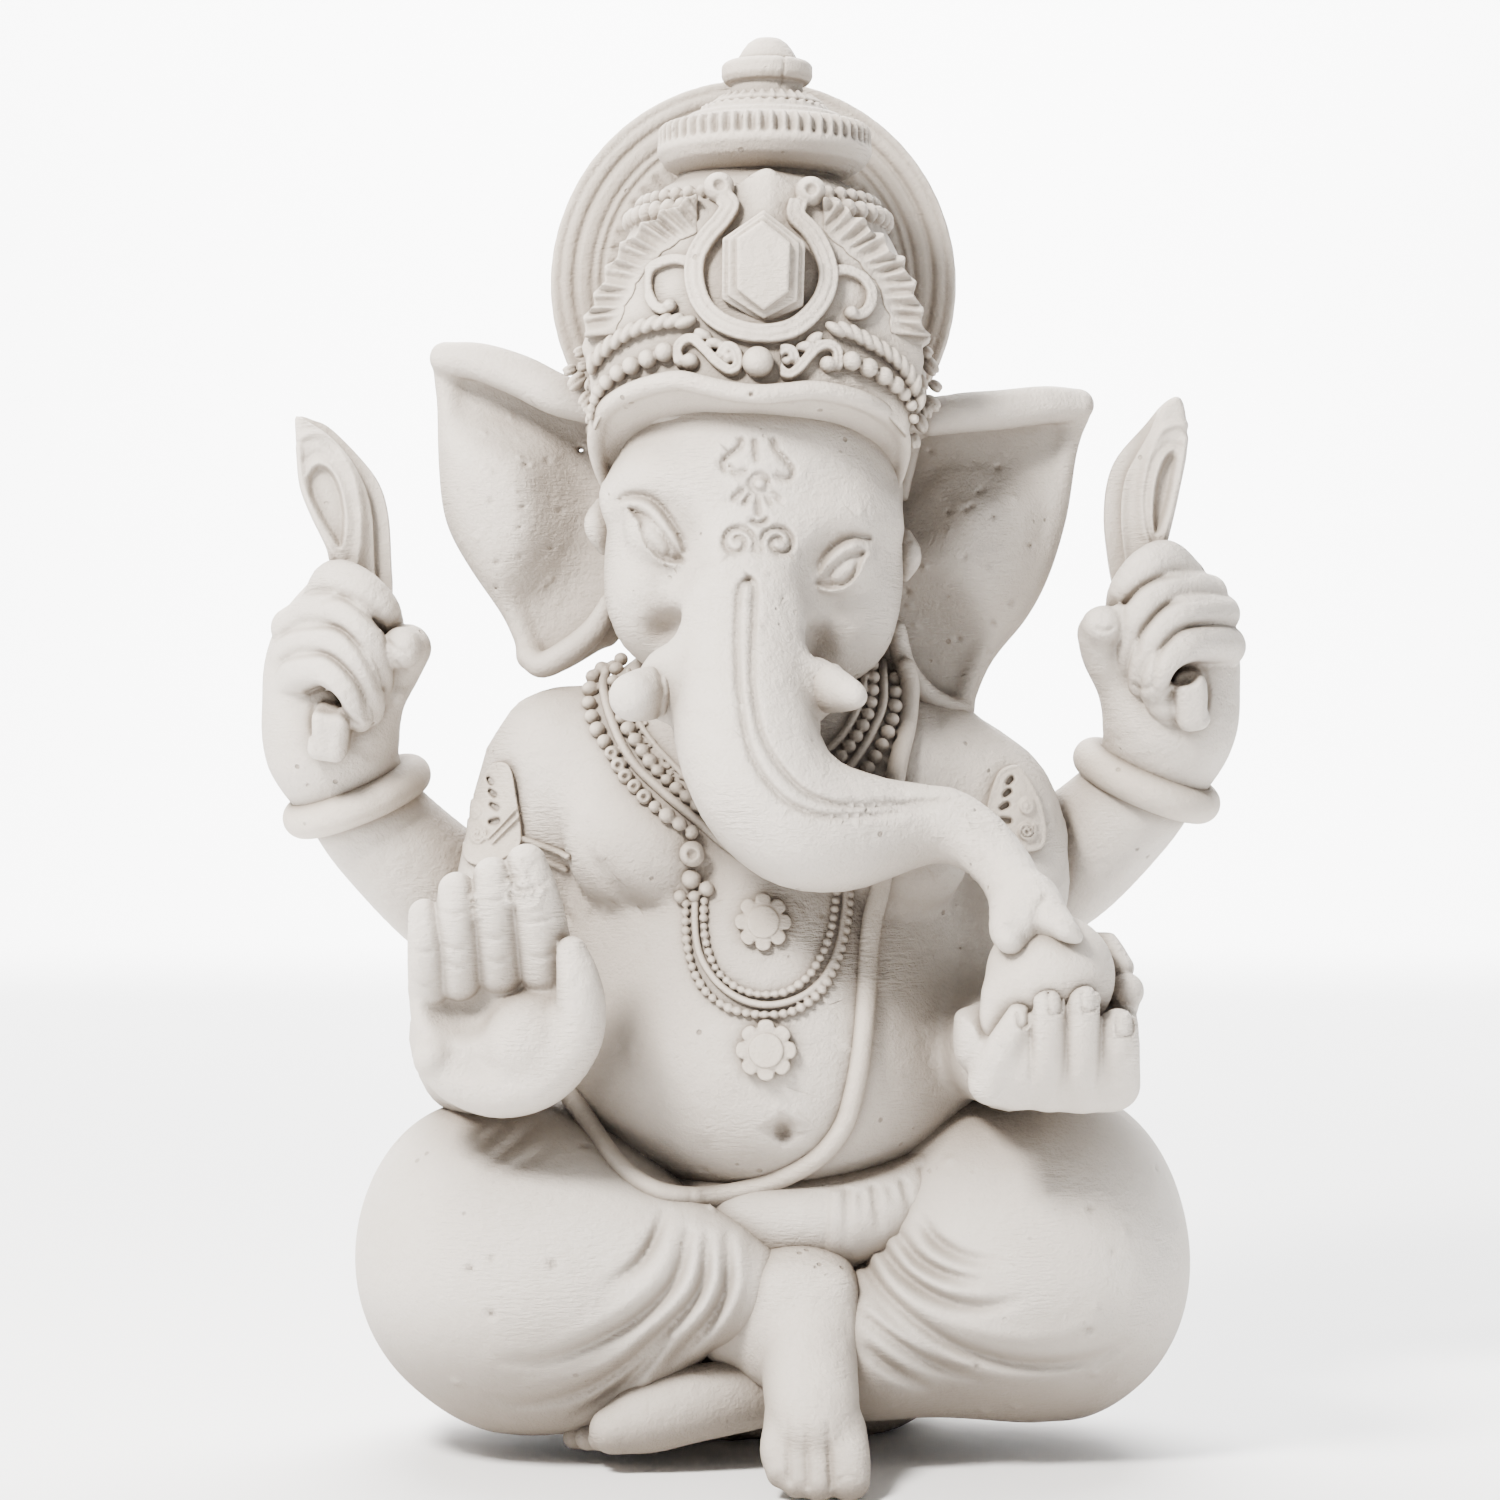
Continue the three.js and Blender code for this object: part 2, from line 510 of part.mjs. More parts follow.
const inward = (outline, by) => outline.map(([x, z]) => [x - Math.sign(x + 0.01) * by,
  z + (z < 92 ? by : 0)]);
place("chest_chain_outer", plaster.jewellery, (g) => beads(laidOn(TORSO, LOOP, 19, BEAD_R), BEAD_R, g));
place("chest_chain_inner", plaster.jewellery, (g) => beads(laidOn(TORSO, inward(LOOP, 4.6), 14, BEAD_R),
  BEAD_R - 0.1, g));
for (const [name, x, z] of [["pendant_upper", -0.6, 102.8], ["pendant_lower", -0.6, 79.6]]) {
  const petals = Array.from({ length: 32 }, (_, i) => {
    const a = (2 * Math.PI * i) / 32;
    const r = FLOWER_R * (0.9 + 0.1 * Math.cos(8 * a));
    return [x + r * Math.cos(a), z + r * Math.sin(a)];
  });
  place(name, plaster.jewellery, (g) => plate(petals, frontOf(TORSO, x, z) - 1.6, 5, g, false));
}
const THREAD = [[27, 146], [23, 128], [21, 112], [18.8, 90], [15.4, 69], [6, 56], [-12, 51.6], [-27, 58],
  [-38, 67.5]];
place("sacred_thread", plaster.jewellery, (g) => {
  const points = laidOn(TORSO, THREAD, 20, CORD_R);
  return limb(points, points.map(() => CORD_R), g, 7, 1);
});

export default figure;
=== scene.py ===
"""Seated elephant-headed idol in bare cast plaster.

The figure is modelled as clay: every piece is a block of distance values to which rounded
forms are added, from which others are cut, and into whose skin fine lines are drawn.
All sizes in the modelling code are millimetres in the CAD's frame; the stage and the lights are
in metres. The figure faces -Y.
"right" and "left" are the figure's own, so its right side is at -X.
"""
import math

import bpy
import numpy as np
import openvdb
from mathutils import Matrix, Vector


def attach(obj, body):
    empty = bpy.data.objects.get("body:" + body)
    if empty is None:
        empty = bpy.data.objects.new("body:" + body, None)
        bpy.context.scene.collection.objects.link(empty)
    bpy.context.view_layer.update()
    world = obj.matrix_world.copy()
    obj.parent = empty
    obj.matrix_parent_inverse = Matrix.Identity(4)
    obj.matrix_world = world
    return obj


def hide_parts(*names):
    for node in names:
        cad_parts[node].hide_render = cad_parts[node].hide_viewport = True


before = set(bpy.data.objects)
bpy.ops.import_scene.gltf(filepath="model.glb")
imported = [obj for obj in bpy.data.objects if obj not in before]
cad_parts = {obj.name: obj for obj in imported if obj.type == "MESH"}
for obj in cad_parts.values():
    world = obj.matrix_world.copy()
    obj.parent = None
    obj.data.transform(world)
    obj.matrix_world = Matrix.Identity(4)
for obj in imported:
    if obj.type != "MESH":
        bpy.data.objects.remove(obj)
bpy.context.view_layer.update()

MM = 0.001
DRAFT = 1.0
FAR = 60.0  # the distance that stands for "nothing near"
REACH = 3.0  # how far beyond its surface a form's distances are worked out
BAND = 3  # voxels of distance that are kept on each side of a surface
FOREMOST = -200.0  # a y in front of everything
TINY = 1e-9  # keeps a division from meeting nought
STEEPEST = 2.0  # the steepest slope that a string or bead on a front is tilted to
SIDES = (("right", -1), ("left", 1))  # each side's name and the sign of its x


# ---------------------------------------------------------------------------------- lines
def smooth_line(points, per_span=5):
    """A Catmull-Rom line through the points; every column, such as a radius, is smoothed too."""
    p = np.array(points, float)
    p = np.vstack([2 * p[0] - p[1], p, 2 * p[-1] - p[-2]])
    out = []
    for a, b, c, d in zip(p[:-3], p[1:-2], p[2:-1], p[3:]):
        for t in np.linspace(0, 1, per_span, endpoint=False):
            out.append(0.5 * (2 * b + (c - a) * t + (2 * a - 5 * b + 4 * c - d) * t ** 2
                              + (3 * b - a - 3 * c + d) * t ** 3))
    out.append(p[-2])
    return np.array(out)


def evenly(points, step):
    """Points about `step` apart along a smooth line through the given ones."""
    line = smooth_line(points, 12)
    run = np.r_[0, np.cumsum(np.linalg.norm(np.diff(line[:, :3], axis=0), axis=1))]
    at = np.linspace(0, run[-1], max(2, int(round(run[-1] / step)) + 1))
    return np.column_stack([np.interp(at, run, line[:, k]) for k in range(line.shape[1])])


def arc(centre, radius, start, end, count=13):
    """Points (x, z) on a circle; angles in degrees, anticlockwise from +X as the viewer sees it."""
    a = np.radians(np.linspace(start, end, count))
    return [(centre[0] + radius * math.cos(t), centre[1] + radius * math.sin(t)) for t in a]


def spiral(centre, radii, angles, count, side=1):
    """Points (x, z) on a spiral between two radii and two angles in radians; side -1 mirrors it."""
    return [(centre[0] + side * r * math.cos(a), centre[1] + r * math.sin(a))
            for r, a in zip(np.linspace(*radii, count), np.linspace(*angles, count))]


def around(count):
    """The cosine and sine of evenly spaced angles round a full circle."""
    return [(math.cos(a), math.sin(a)) for a in (2 * math.pi * i / count for i in range(count))]


def heading(tilt):
    """The direction (x, z) of a line that is turned clockwise from level by an angle in degrees."""
    return np.array([math.cos(math.radians(-tilt)), math.sin(math.radians(-tilt))])


# ---------------------------------------------------------------------------------- forms
# A form is (low corner, high corner, distance function of x, y, z).
def turned_axes(turn):
    """The three axes of a form turned by Euler angles in degrees, as columns."""
    ax, ay, az = np.radians(turn)
    rx = np.array([[1, 0, 0], [0, math.cos(ax), -math.sin(ax)], [0, math.sin(ax), math.cos(ax)]])
    ry = np.array([[math.cos(ay), 0, math.sin(ay)], [0, 1, 0], [-math.sin(ay), 0, math.cos(ay)]])
    rz = np.array([[math.cos(az), -math.sin(az), 0], [math.sin(az), math.cos(az), 0], [0, 0, 1]])
    return rz @ ry @ rx


def local(at, axes, x, y, z):
    """The place (x, y, z) as measured from `at` along three axes."""
    dx, dy, dz = x - at[0], y - at[1], z - at[2]
    return [axes[0, k] * dx + axes[1, k] * dy + axes[2, k] * dz for k in range(3)]


def ball(at, radii, turn=(0, 0, 0)):
    """An ellipsoid."""
    at, radii = np.array(at, float), np.broadcast_to(np.array(radii, float), 3)
    axes = turned_axes(turn)
    reach = np.sqrt(((axes * radii) ** 2).sum(axis=1))

    def distance(x, y, z):
        u, v, w = local(at, axes, x, y, z)
        k0 = np.sqrt((u / radii[0]) ** 2 + (v / radii[1]) ** 2 + (w / radii[2]) ** 2)
        k1 = np.sqrt((u / radii[0] ** 2) ** 2 + (v / radii[1] ** 2) ** 2 + (w / radii[2] ** 2) ** 2)
        return k0 * (k0 - 1) / np.maximum(k1, 1e-4)

    return at - reach, at + reach, distance


def block(at, half, rounding, turn=(0, 0, 0)):
    """A box with rounded edges."""
    at, half = np.array(at, float), np.array(half, float)
    axes = turned_axes(turn)
    reach = np.abs(axes) @ half

    def distance(x, y, z):
        q = [np.abs(c) - (h - rounding) for c, h in zip(local(at, axes, x, y, z), half)]
        outside = np.sqrt(sum(np.maximum(c, 0) ** 2 for c in q))
        inside = np.minimum(np.maximum(np.maximum(q[0], q[1]), q[2]), 0)
        return outside + inside - rounding

    return at - reach, at + reach, distance


def taper(a, b):
    """A round rod from a to b, each (x, y, z, radius)."""
    a, b = np.array(a, float), np.array(b, float)
    along = b[:3] - a[:3]
    length2 = max(float(along @ along), TINY)

    def distance(x, y, z):
        dx, dy, dz = x - a[0], y - a[1], z - a[2]
        t = np.clip((dx * along[0] + dy * along[1] + dz * along[2]) / length2, 0, 1)
        gap = (dx - t * along[0]) ** 2 + (dy - t * along[1]) ** 2 + (dz - t * along[2]) ** 2
        return np.sqrt(gap) - (a[3] + t * (b[3] - a[3]))

    thick = max(a[3], b[3])
    return np.minimum(a, b)[:3] - thick, np.maximum(a, b)[:3] + thick, distance


def limb(points, per_span=5):
    """A round limb through points of (x, y, z, radius), as a list of rods."""
    line = smooth_line(points, per_span)
    return [taper(a, b) for a, b in zip(line[:-1], line[1:])]


def rods(laid, radius):
    """A cord of one thickness through the points of a line."""
    return [taper((*a, radius), (*b, radius)) for a, b in zip(laid[:-1], laid[1:])]


def hoop(at, normal, radius, tube, squash=1.0):
    """A ring round `normal`, with a tube that may be flattened along the normal."""
    at, n = np.array(at, float), np.array(normal, float)
    n /= np.linalg.norm(n)
    reach = radius * np.sqrt(1 - n ** 2) + tube

    def distance(x, y, z):
        dx, dy, dz = x - at[0], y - at[1], z - at[2]
        h = dx * n[0] + dy * n[1] + dz * n[2]
        away = np.sqrt(np.maximum(dx ** 2 + dy ** 2 + dz ** 2 - h ** 2, 0))
        return np.sqrt((away - radius) ** 2 + (h / squash) ** 2) - tube

    return at - reach, at + reach, distance


def looked_up(table, i, j):
    """The value of a table at fractional places, blended from the four entries round each."""
    i = np.clip(i, 0, table.shape[0] - 2)
    j = np.clip(j, 0, table.shape[1] - 2)
    i0, j0 = np.asarray(i).astype(int), np.asarray(j).astype(int)
    fi, fj = i - i0, j - j0
    return ((table[i0, j0] * (1 - fi) + table[i0 + 1, j0] * fi) * (1 - fj)
            + (table[i0, j0 + 1] * (1 - fi) + table[i0 + 1, j0 + 1] * fi) * fj)


class Outline:
    """The signed distance to a closed outline in a plane, looked up from a fine table."""

    def __init__(self, points, smooth=0, step=0.25, margin=4.0):
        p = np.array(points, float)
        if smooth:
            closed = np.vstack([p[-1], p, p[0], p[1]])
            line = smooth_line(closed, smooth)
            p = line[smooth:-smooth - 1]
        self.low, self.step = p.min(axis=0) - margin, step
        self.points = p
        count = np.ceil((p.max(axis=0) + margin - self.low) / step).astype(int) + 1
        u = (self.low[0] + step * np.arange(count[0]))[:, None]
        v = (self.low[1] + step * np.arange(count[1]))[None, :]
        near = np.full(count, 1e9)
        inside = np.zeros(count, bool)
        for (ax, ay), (bx, by) in zip(p, np.roll(p, -1, axis=0)):
            ex, ey = bx - ax, by - ay
            t = np.clip(((u - ax) * ex + (v - ay) * ey) / max(ex * ex + ey * ey, TINY), 0, 1)
            near = np.minimum(near, (u - ax - t * ex) ** 2 + (v - ay - t * ey) ** 2)
            if ay != by:
                crosses = (ay > v) != (by > v)
                inside ^= crosses & (u < ax + (v - ay) * ex / ey)
        self.table = (np.sqrt(near) * np.where(inside, -1, 1)).astype(np.float32)

    def __call__(self, u, v):
        i = (u - self.low[0]) / self.step
        j = (v - self.low[1]) / self.step
        beyond = np.hypot(i - np.clip(i, 0, self.table.shape[0] - 2),
                          j - np.clip(j, 0, self.table.shape[1] - 2)) * self.step
        return looked_up(self.table, i, j) + beyond


def between(flat, level, half, rounding):
    """The distance to a plate, from its outline's distance and the height off its mid level."""
    a = flat + rounding
    b = np.abs(level) - half + rounding
    inside = np.minimum(np.maximum(a, b), 0)
    return np.sqrt(np.maximum(a, 0) ** 2 + np.maximum(b, 0) ** 2) + inside - rounding


def plate(outline, at, half, rounding=0.4, turn=(0, 0, 0)):
    """A flat plate: the outline is in the plate's own x and z, and `half` its half thickness."""
    at, axes = np.array(at, float), turned_axes(turn)
    low, high = outline.points.min(axis=0), outline.points.max(axis=0)
    corners = [axes @ np.array([u, v, w]) for u in (low[0], high[0]) for v in (-half, half)
               for w in (low[1], high[1])]

    def distance(x, y, z):
        u, v, w = local(at, axes, x, y, z)
        return between(outline(u, w), v, half, rounding)

    return at + np.min(corners, axis=0), at + np.max(corners, axis=0), distance


def both_sides(profile):
    """The whole cross-section of a turned solid, from its profile of (radius, z)."""
    return Outline([(-r, z) for r, z in profile[::-1] if r > 0] + profile, step=0.2)


def revolved(profile, x, y):
    """A solid of revolution about a vertical axis, from a closed profile of (radius, z)."""
    ring = both_sides(profile)
    widest = ring.points[:, 0].max()

    def distance(px, py, pz):
        return ring(np.sqrt((px - x) ** 2 + (py - y) ** 2), pz)

    return (np.array([x - widest, y - widest, ring.points[:, 1].min()]),
            np.array([x + widest, y + widest, ring.points[:, 1].max()]), distance)


# ----------------------------------------------------------------------------------- clay
def smooth_min(a, b, blend):
    """The smaller of two distances, rounded over where they come within `blend` of each other."""
    if blend <= 0:
        return np.minimum(a, b)
    h = np.maximum(blend - np.abs(a - b), 0) / blend
    return np.minimum(a, b) - h * h * blend / 4


class Clay:
    """A block of distance values, negative inside the modelled shape."""

    def __init__(self, low, high, voxel):
        self.voxel = voxel * DRAFT
        self.low = np.array(low, float)
        size = np.ceil((np.array(high, float) - self.low) / self.voxel).astype(int) + 1
        self.d = np.full(size, FAR, np.float32)

    def window(self, low, high):
        """The part of the block between two corners: its slices and its x, y and z."""
        first = np.floor((np.array(low) - self.low) / self.voxel).astype(int)
        last = np.ceil((np.array(high) - self.low) / self.voxel).astype(int) + 1
        first, last = np.clip(first, 0, self.d.shape), np.clip(last, 0, self.d.shape)
        x, y, z = [(self.low[k] + self.voxel * np.arange(first[k], last[k])).astype(np.float32)
                   for k in range(3)]
        where = tuple(slice(a, b) for a, b in zip(first, last))
        return where, x[:, None, None], y[None, :, None], z[None, None, :]

    def gather(self, forms, blend):
        """All forms together, without blending between them: a window and its distances."""
        low = np.min([f[0] for f in forms], axis=0) - REACH - blend
        high = np.max([f[1] for f in forms], axis=0) + REACH + blend
        where = self.window(low, high)[0]
        origin = [s.start for s in where]
        both = np.full([s.stop - s.start for s in where], FAR, np.float32)
        for form_low, form_high, distance in forms:
            part, px, py, pz = self.window(np.array(form_low) - REACH - blend,
                                           np.array(form_high) + REACH + blend)
            inner = tuple(slice(s.start - o, s.stop - o) for s, o in zip(part, origin))
            if min(both[inner].shape) > 0:
                both[inner] = np.minimum(both[inner], distance(px, py, pz))
        return where, both

    def add(self, forms, blend=0.0):
        """Joins forms to the clay, with a fillet about `blend` wide."""
        forms = forms if isinstance(forms, list) else [forms]
        where, both = self.gather(forms, blend)
        self.d[where] = smooth_min(self.d[where], both, blend)
        return self

    def cut(self, forms, blend=0.0):
        """Cuts forms out of the clay."""
        forms = forms if isinstance(forms, list) else [forms]
        where, both = self.gather(forms, blend)
        self.d[where] = -smooth_min(-self.d[where], both, blend)
        return self

    def floor(self):
        """Cuts the clay off flat at the ground."""
        z = self.low[2] + self.voxel * np.arange(self.d.shape[2], dtype=np.float32)
        self.d = np.maximum(self.d, -z[None, None, :])
        return self

    def draw(self, lines, width, depth, nearer_than=0.0):
        """Draws lines of (x, z) or (x, z, strength) into the front: sunk, or raised if depth < 0.

        Only the clay in front of y = `nearer_than` is marked.
        """
        for points in lines:
            line = np.array(points, float)
            if line.shape[1] == 2:
                line = np.column_stack([line, np.ones(len(line))])
            low = [line[:, 0].min() - 3 * width, FOREMOST, line[:, 1].min() - 3 * width]
            high = [line[:, 0].max() + 3 * width, nearer_than, line[:, 1].max() + 3 * width]
            where, x, _, z = self.window(low, high)
            u, v = x[:, :, 0], z[:, 0, :]
            mark = np.zeros((u.shape[0], v.shape[1]), np.float32)
            for (ax, az, ar), (bx, bz, br) in zip(line[:-1], line[1:]):
                ex, ez = bx - ax, bz - az
                t = np.clip(((u - ax) * ex + (v - az) * ez) / max(ex * ex + ez * ez, TINY), 0, 1)
                gap = (u - ax - t * ex) ** 2 + (v - az - t * ez) ** 2
                mark = np.maximum(mark, (ar + t * (br - ar)) * np.exp(-gap / width ** 2))
            self.d[where] += depth * mark[:, None, :]
        return self

    def curves(self, lines, width, depth, nearer_than=0.0):
        """Draws smooth lines through the given points."""
        return self.draw([smooth_line(points) for points in lines], width, depth, nearer_than)

    def stamp(self, outline, depth, edge, nearer_than=0.0):
        """Sinks the front inside an outline in x and z by `depth`, or raises it if depth < 0."""
        low, high = outline.points.min(axis=0) - edge, outline.points.max(axis=0) + edge
        where, x, _, z = self.window([low[0], FOREMOST, low[1]], [high[0], nearer_than, high[1]])
        flat = outline(x[:, :, 0], z[:, 0, :])
        share = np.clip(0.5 - flat / edge, 0, 1)
        share = share * share * (3 - 2 * share)
        self.d[where] += (depth * share[:, None, :]).astype(np.float32)
        return self

    def cast(self, node, slot, spare=0.0):
        """A piece that stands for one CAD node and is named after it."""
        return self.piece(f"{node}_plaster", slot, [node], spare)

    def piece(self, name, slot, nodes, spare=0.0):
        """Turns the clay into a Blender object that stands for the named CAD nodes.

        `spare`, from 0 to 1, lets flat stretches have fewer faces.
        """
        limit = BAND * self.voxel
        d = np.clip(self.d, -limit, limit)
        for k in range(3):
            edge = [slice(None)] * 3
            for end in (0, -1):
                edge[k] = end
                d[tuple(edge)] = np.maximum(d[tuple(edge)], 0.5 * self.voxel)
        grid = openvdb.FloatGrid(limit)
        grid.copyFromArray(d)
        points, triangles, quads = grid.convertToPolygons(isovalue=0.0, adaptivity=spare)
        slopes = np.stack(np.gradient(self.d), axis=-1)
        cell = np.clip(points, 0, np.array(self.d.shape) - 1.001)
        first = cell.astype(int)
        part = cell - first
        normals = np.zeros((len(points), 3))
        for corner in np.ndindex(2, 2, 2):
            weight = np.prod(np.where(corner, part, 1 - part), axis=1)
            normals += weight[:, None] * slopes[tuple((first + corner).T)]
        normals /= np.maximum(np.linalg.norm(normals, axis=1), 1e-6)[:, None]
        points = (points * self.voxel + self.low) * MM
        return make_piece(name, points, [triangles, quads], normals, slot, nodes)


def make_piece(name, points, faces, normals, slot, nodes):
    """A smooth-shaded mesh that stands for the named CAD nodes."""
    mesh = bpy.data.meshes.new(name)
    mesh.vertices.add(len(points))
    mesh.vertices.foreach_set("co", np.asarray(points, np.float32).ravel())
    corners = np.concatenate([f.ravel() for f in faces]).astype(np.int32)
    sizes = np.concatenate([np.full(len(f), f.shape[1] if len(f) else 3) for f in faces])
    starts = np.r_[0, np.cumsum(sizes)[:-1]].astype(np.int32)
    mesh.loops.add(len(corners))
    mesh.loops.foreach_set("vertex_index", corners)
    mesh.polygons.add(len(sizes))
    mesh.polygons.foreach_set("loop_start", starts)
    mesh.polygons.foreach_set("use_smooth", np.ones(len(sizes), bool))
    mesh.update(calc_edges=True)
    mesh.validate()
    mesh.normals_split_custom_set_from_vertices(normals)
    mesh.materials.append(MATERIALS[slot])
    piece = bpy.data.objects.new(name, mesh)
    bpy.context.scene.collection.objects.link(piece)
    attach(piece, "root")
    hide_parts(*nodes)
    return piece


class Front:
    """How far forward some clay reaches at each x and z, kept after the clay itself is gone."""

    def __init__(self, clay):
        inside = clay.d < 0
        first = np.maximum(inside.argmax(axis=1), 1)
        before = np.take_along_axis(clay.d, (first - 1)[:, None, :], 1)[:, 0, :]
        after = np.take_along_axis(clay.d, first[:, None, :], 1)[:, 0, :]
        share = before / np.maximum(before - after, 1e-6)
        self.y = clay.low[1] + clay.voxel * (first - 1 + np.clip(share, 0, 1))
        self.y[~inside.any(axis=1)] = np.nan
        self.low, self.step = clay.low, clay.voxel

    def at(self, x, z):
        """The y of the front at one x and z, or nought where there is no clay."""
        i = np.clip((x - self.low[0]) / self.step, 0, self.y.shape[0] - 2)
        j = np.clip((z - self.low[2]) / self.step, 0, self.y.shape[1] - 2)
        i0, j0 = int(i), int(j)
        corners = self.y[i0:i0 + 2, j0:j0 + 2]
        if np.isnan(corners).any():
            return float(np.nanmean(corners)) if not np.isnan(corners).all() else 0.0
        return float(looked_up(self.y, i, j))

    def slopes(self, x, z, span):
        """How steeply the front falls back along x and along z, taken over `span` each way."""
        return ((self.at(x + span, z) - self.at(x - span, z)) / (2 * span),
                (self.at(x, z + span) - self.at(x, z - span)) / (2 * span))

    def lay(self, line, lift=0.0):
        """Lays points of (x, z, ...) on the front, lifted off it along its outward direction."""
        out = []
        for x, z, *rest in line:
            slope_x, slope_z = np.clip(self.slopes(x, z, 1.0), -STEEPEST, STEEPEST)
            n = np.array([slope_x, -1, slope_z])
            n /= np.linalg.norm(n)
            out.append([*(np.array([x, self.at(x, z), z]) + lift * n), *rest])
        return np.array(out)

    def sheet(self, outline, lift, thick):
        """A sheet over the part of the front inside an outline, `lift` proud and `thick` deep."""
        low, high = outline.points.min(axis=0), outline.points.max(axis=0)
        near = np.nanmin(self.y)
        filled = np.where(np.isnan(self.y), 20.0, self.y)

        def distance(x, y, z):
            i, j = (x - self.low[0]) / self.step, (z - self.low[2]) / self.step
            front = looked_up(filled, i, j)
            return between(outline(x, z), y - front + lift - thick / 2, thick / 2, 0.3)

        return (np.array([low[0], near - 2, low[1]]), np.array([high[0], 12.0, high[1]]), distance)


PINHOLE_SHARE = 0.6  # of all the blemishes, how many are holes and not specks


def blemish(clay, front, seed, count, low, high, sizes):
    """Scatters the pinholes and specks that casting leaves over the front, between two (x, z)."""
    rng = np.random.default_rng(seed)
    for x, z in rng.uniform(low, high, (count, 2)):
        size, sunk = rng.uniform(*sizes), rng.random() < PINHOLE_SHARE
        at = front.lay([(x, z)])[0]
        if np.isnan(at).any() or at[1] > 0:
            continue
        if sunk:
            clay.cut(ball(at, size), 0.3)
        else:
            clay.add(ball(at, 0.8 * size), 0.9)


class Back(Front):
    """How far back some clay reaches, kept as the front of its mirror image."""

    def __init__(self, clay):
        super().__init__(Mirrored(clay))

    def lay(self, line, lift=0.0):
        laid = super().lay(line, lift)
        laid[:, 1] *= -1
        return laid


class Mirrored:
    """Clay seen from behind, with its y turned round."""

    def __init__(self, clay):
        self.d = clay.d[:, ::-1]
        self.voxel = clay.voxel
        self.low = np.array(clay.low, dtype=float)
        self.low[1] = -(clay.low[1] + clay.voxel * (clay.d.shape[1] - 1))


class Nearest(Front):
    """Whichever of several fronts is nearest at each x and z."""

    def __init__(self, *fronts):
        self.fronts = fronts

    def at(self, x, z):
        return min(front.at(x, z) for front in self.fronts)


# ------------------------------------------------------------------------------ materials
PAINTED_SHADE = (0.205, 0.172, 0.140)  # painted shade: the colour that folds, creases, undercuts and the gaps between parts darken towards
PIT_SHADE = (0.20, 0.165, 0.13)  # painted shade inside the air-bubble pits
ROUGHNESS = 0.8
BUMP_HEIGHT = 0.0013  # metres


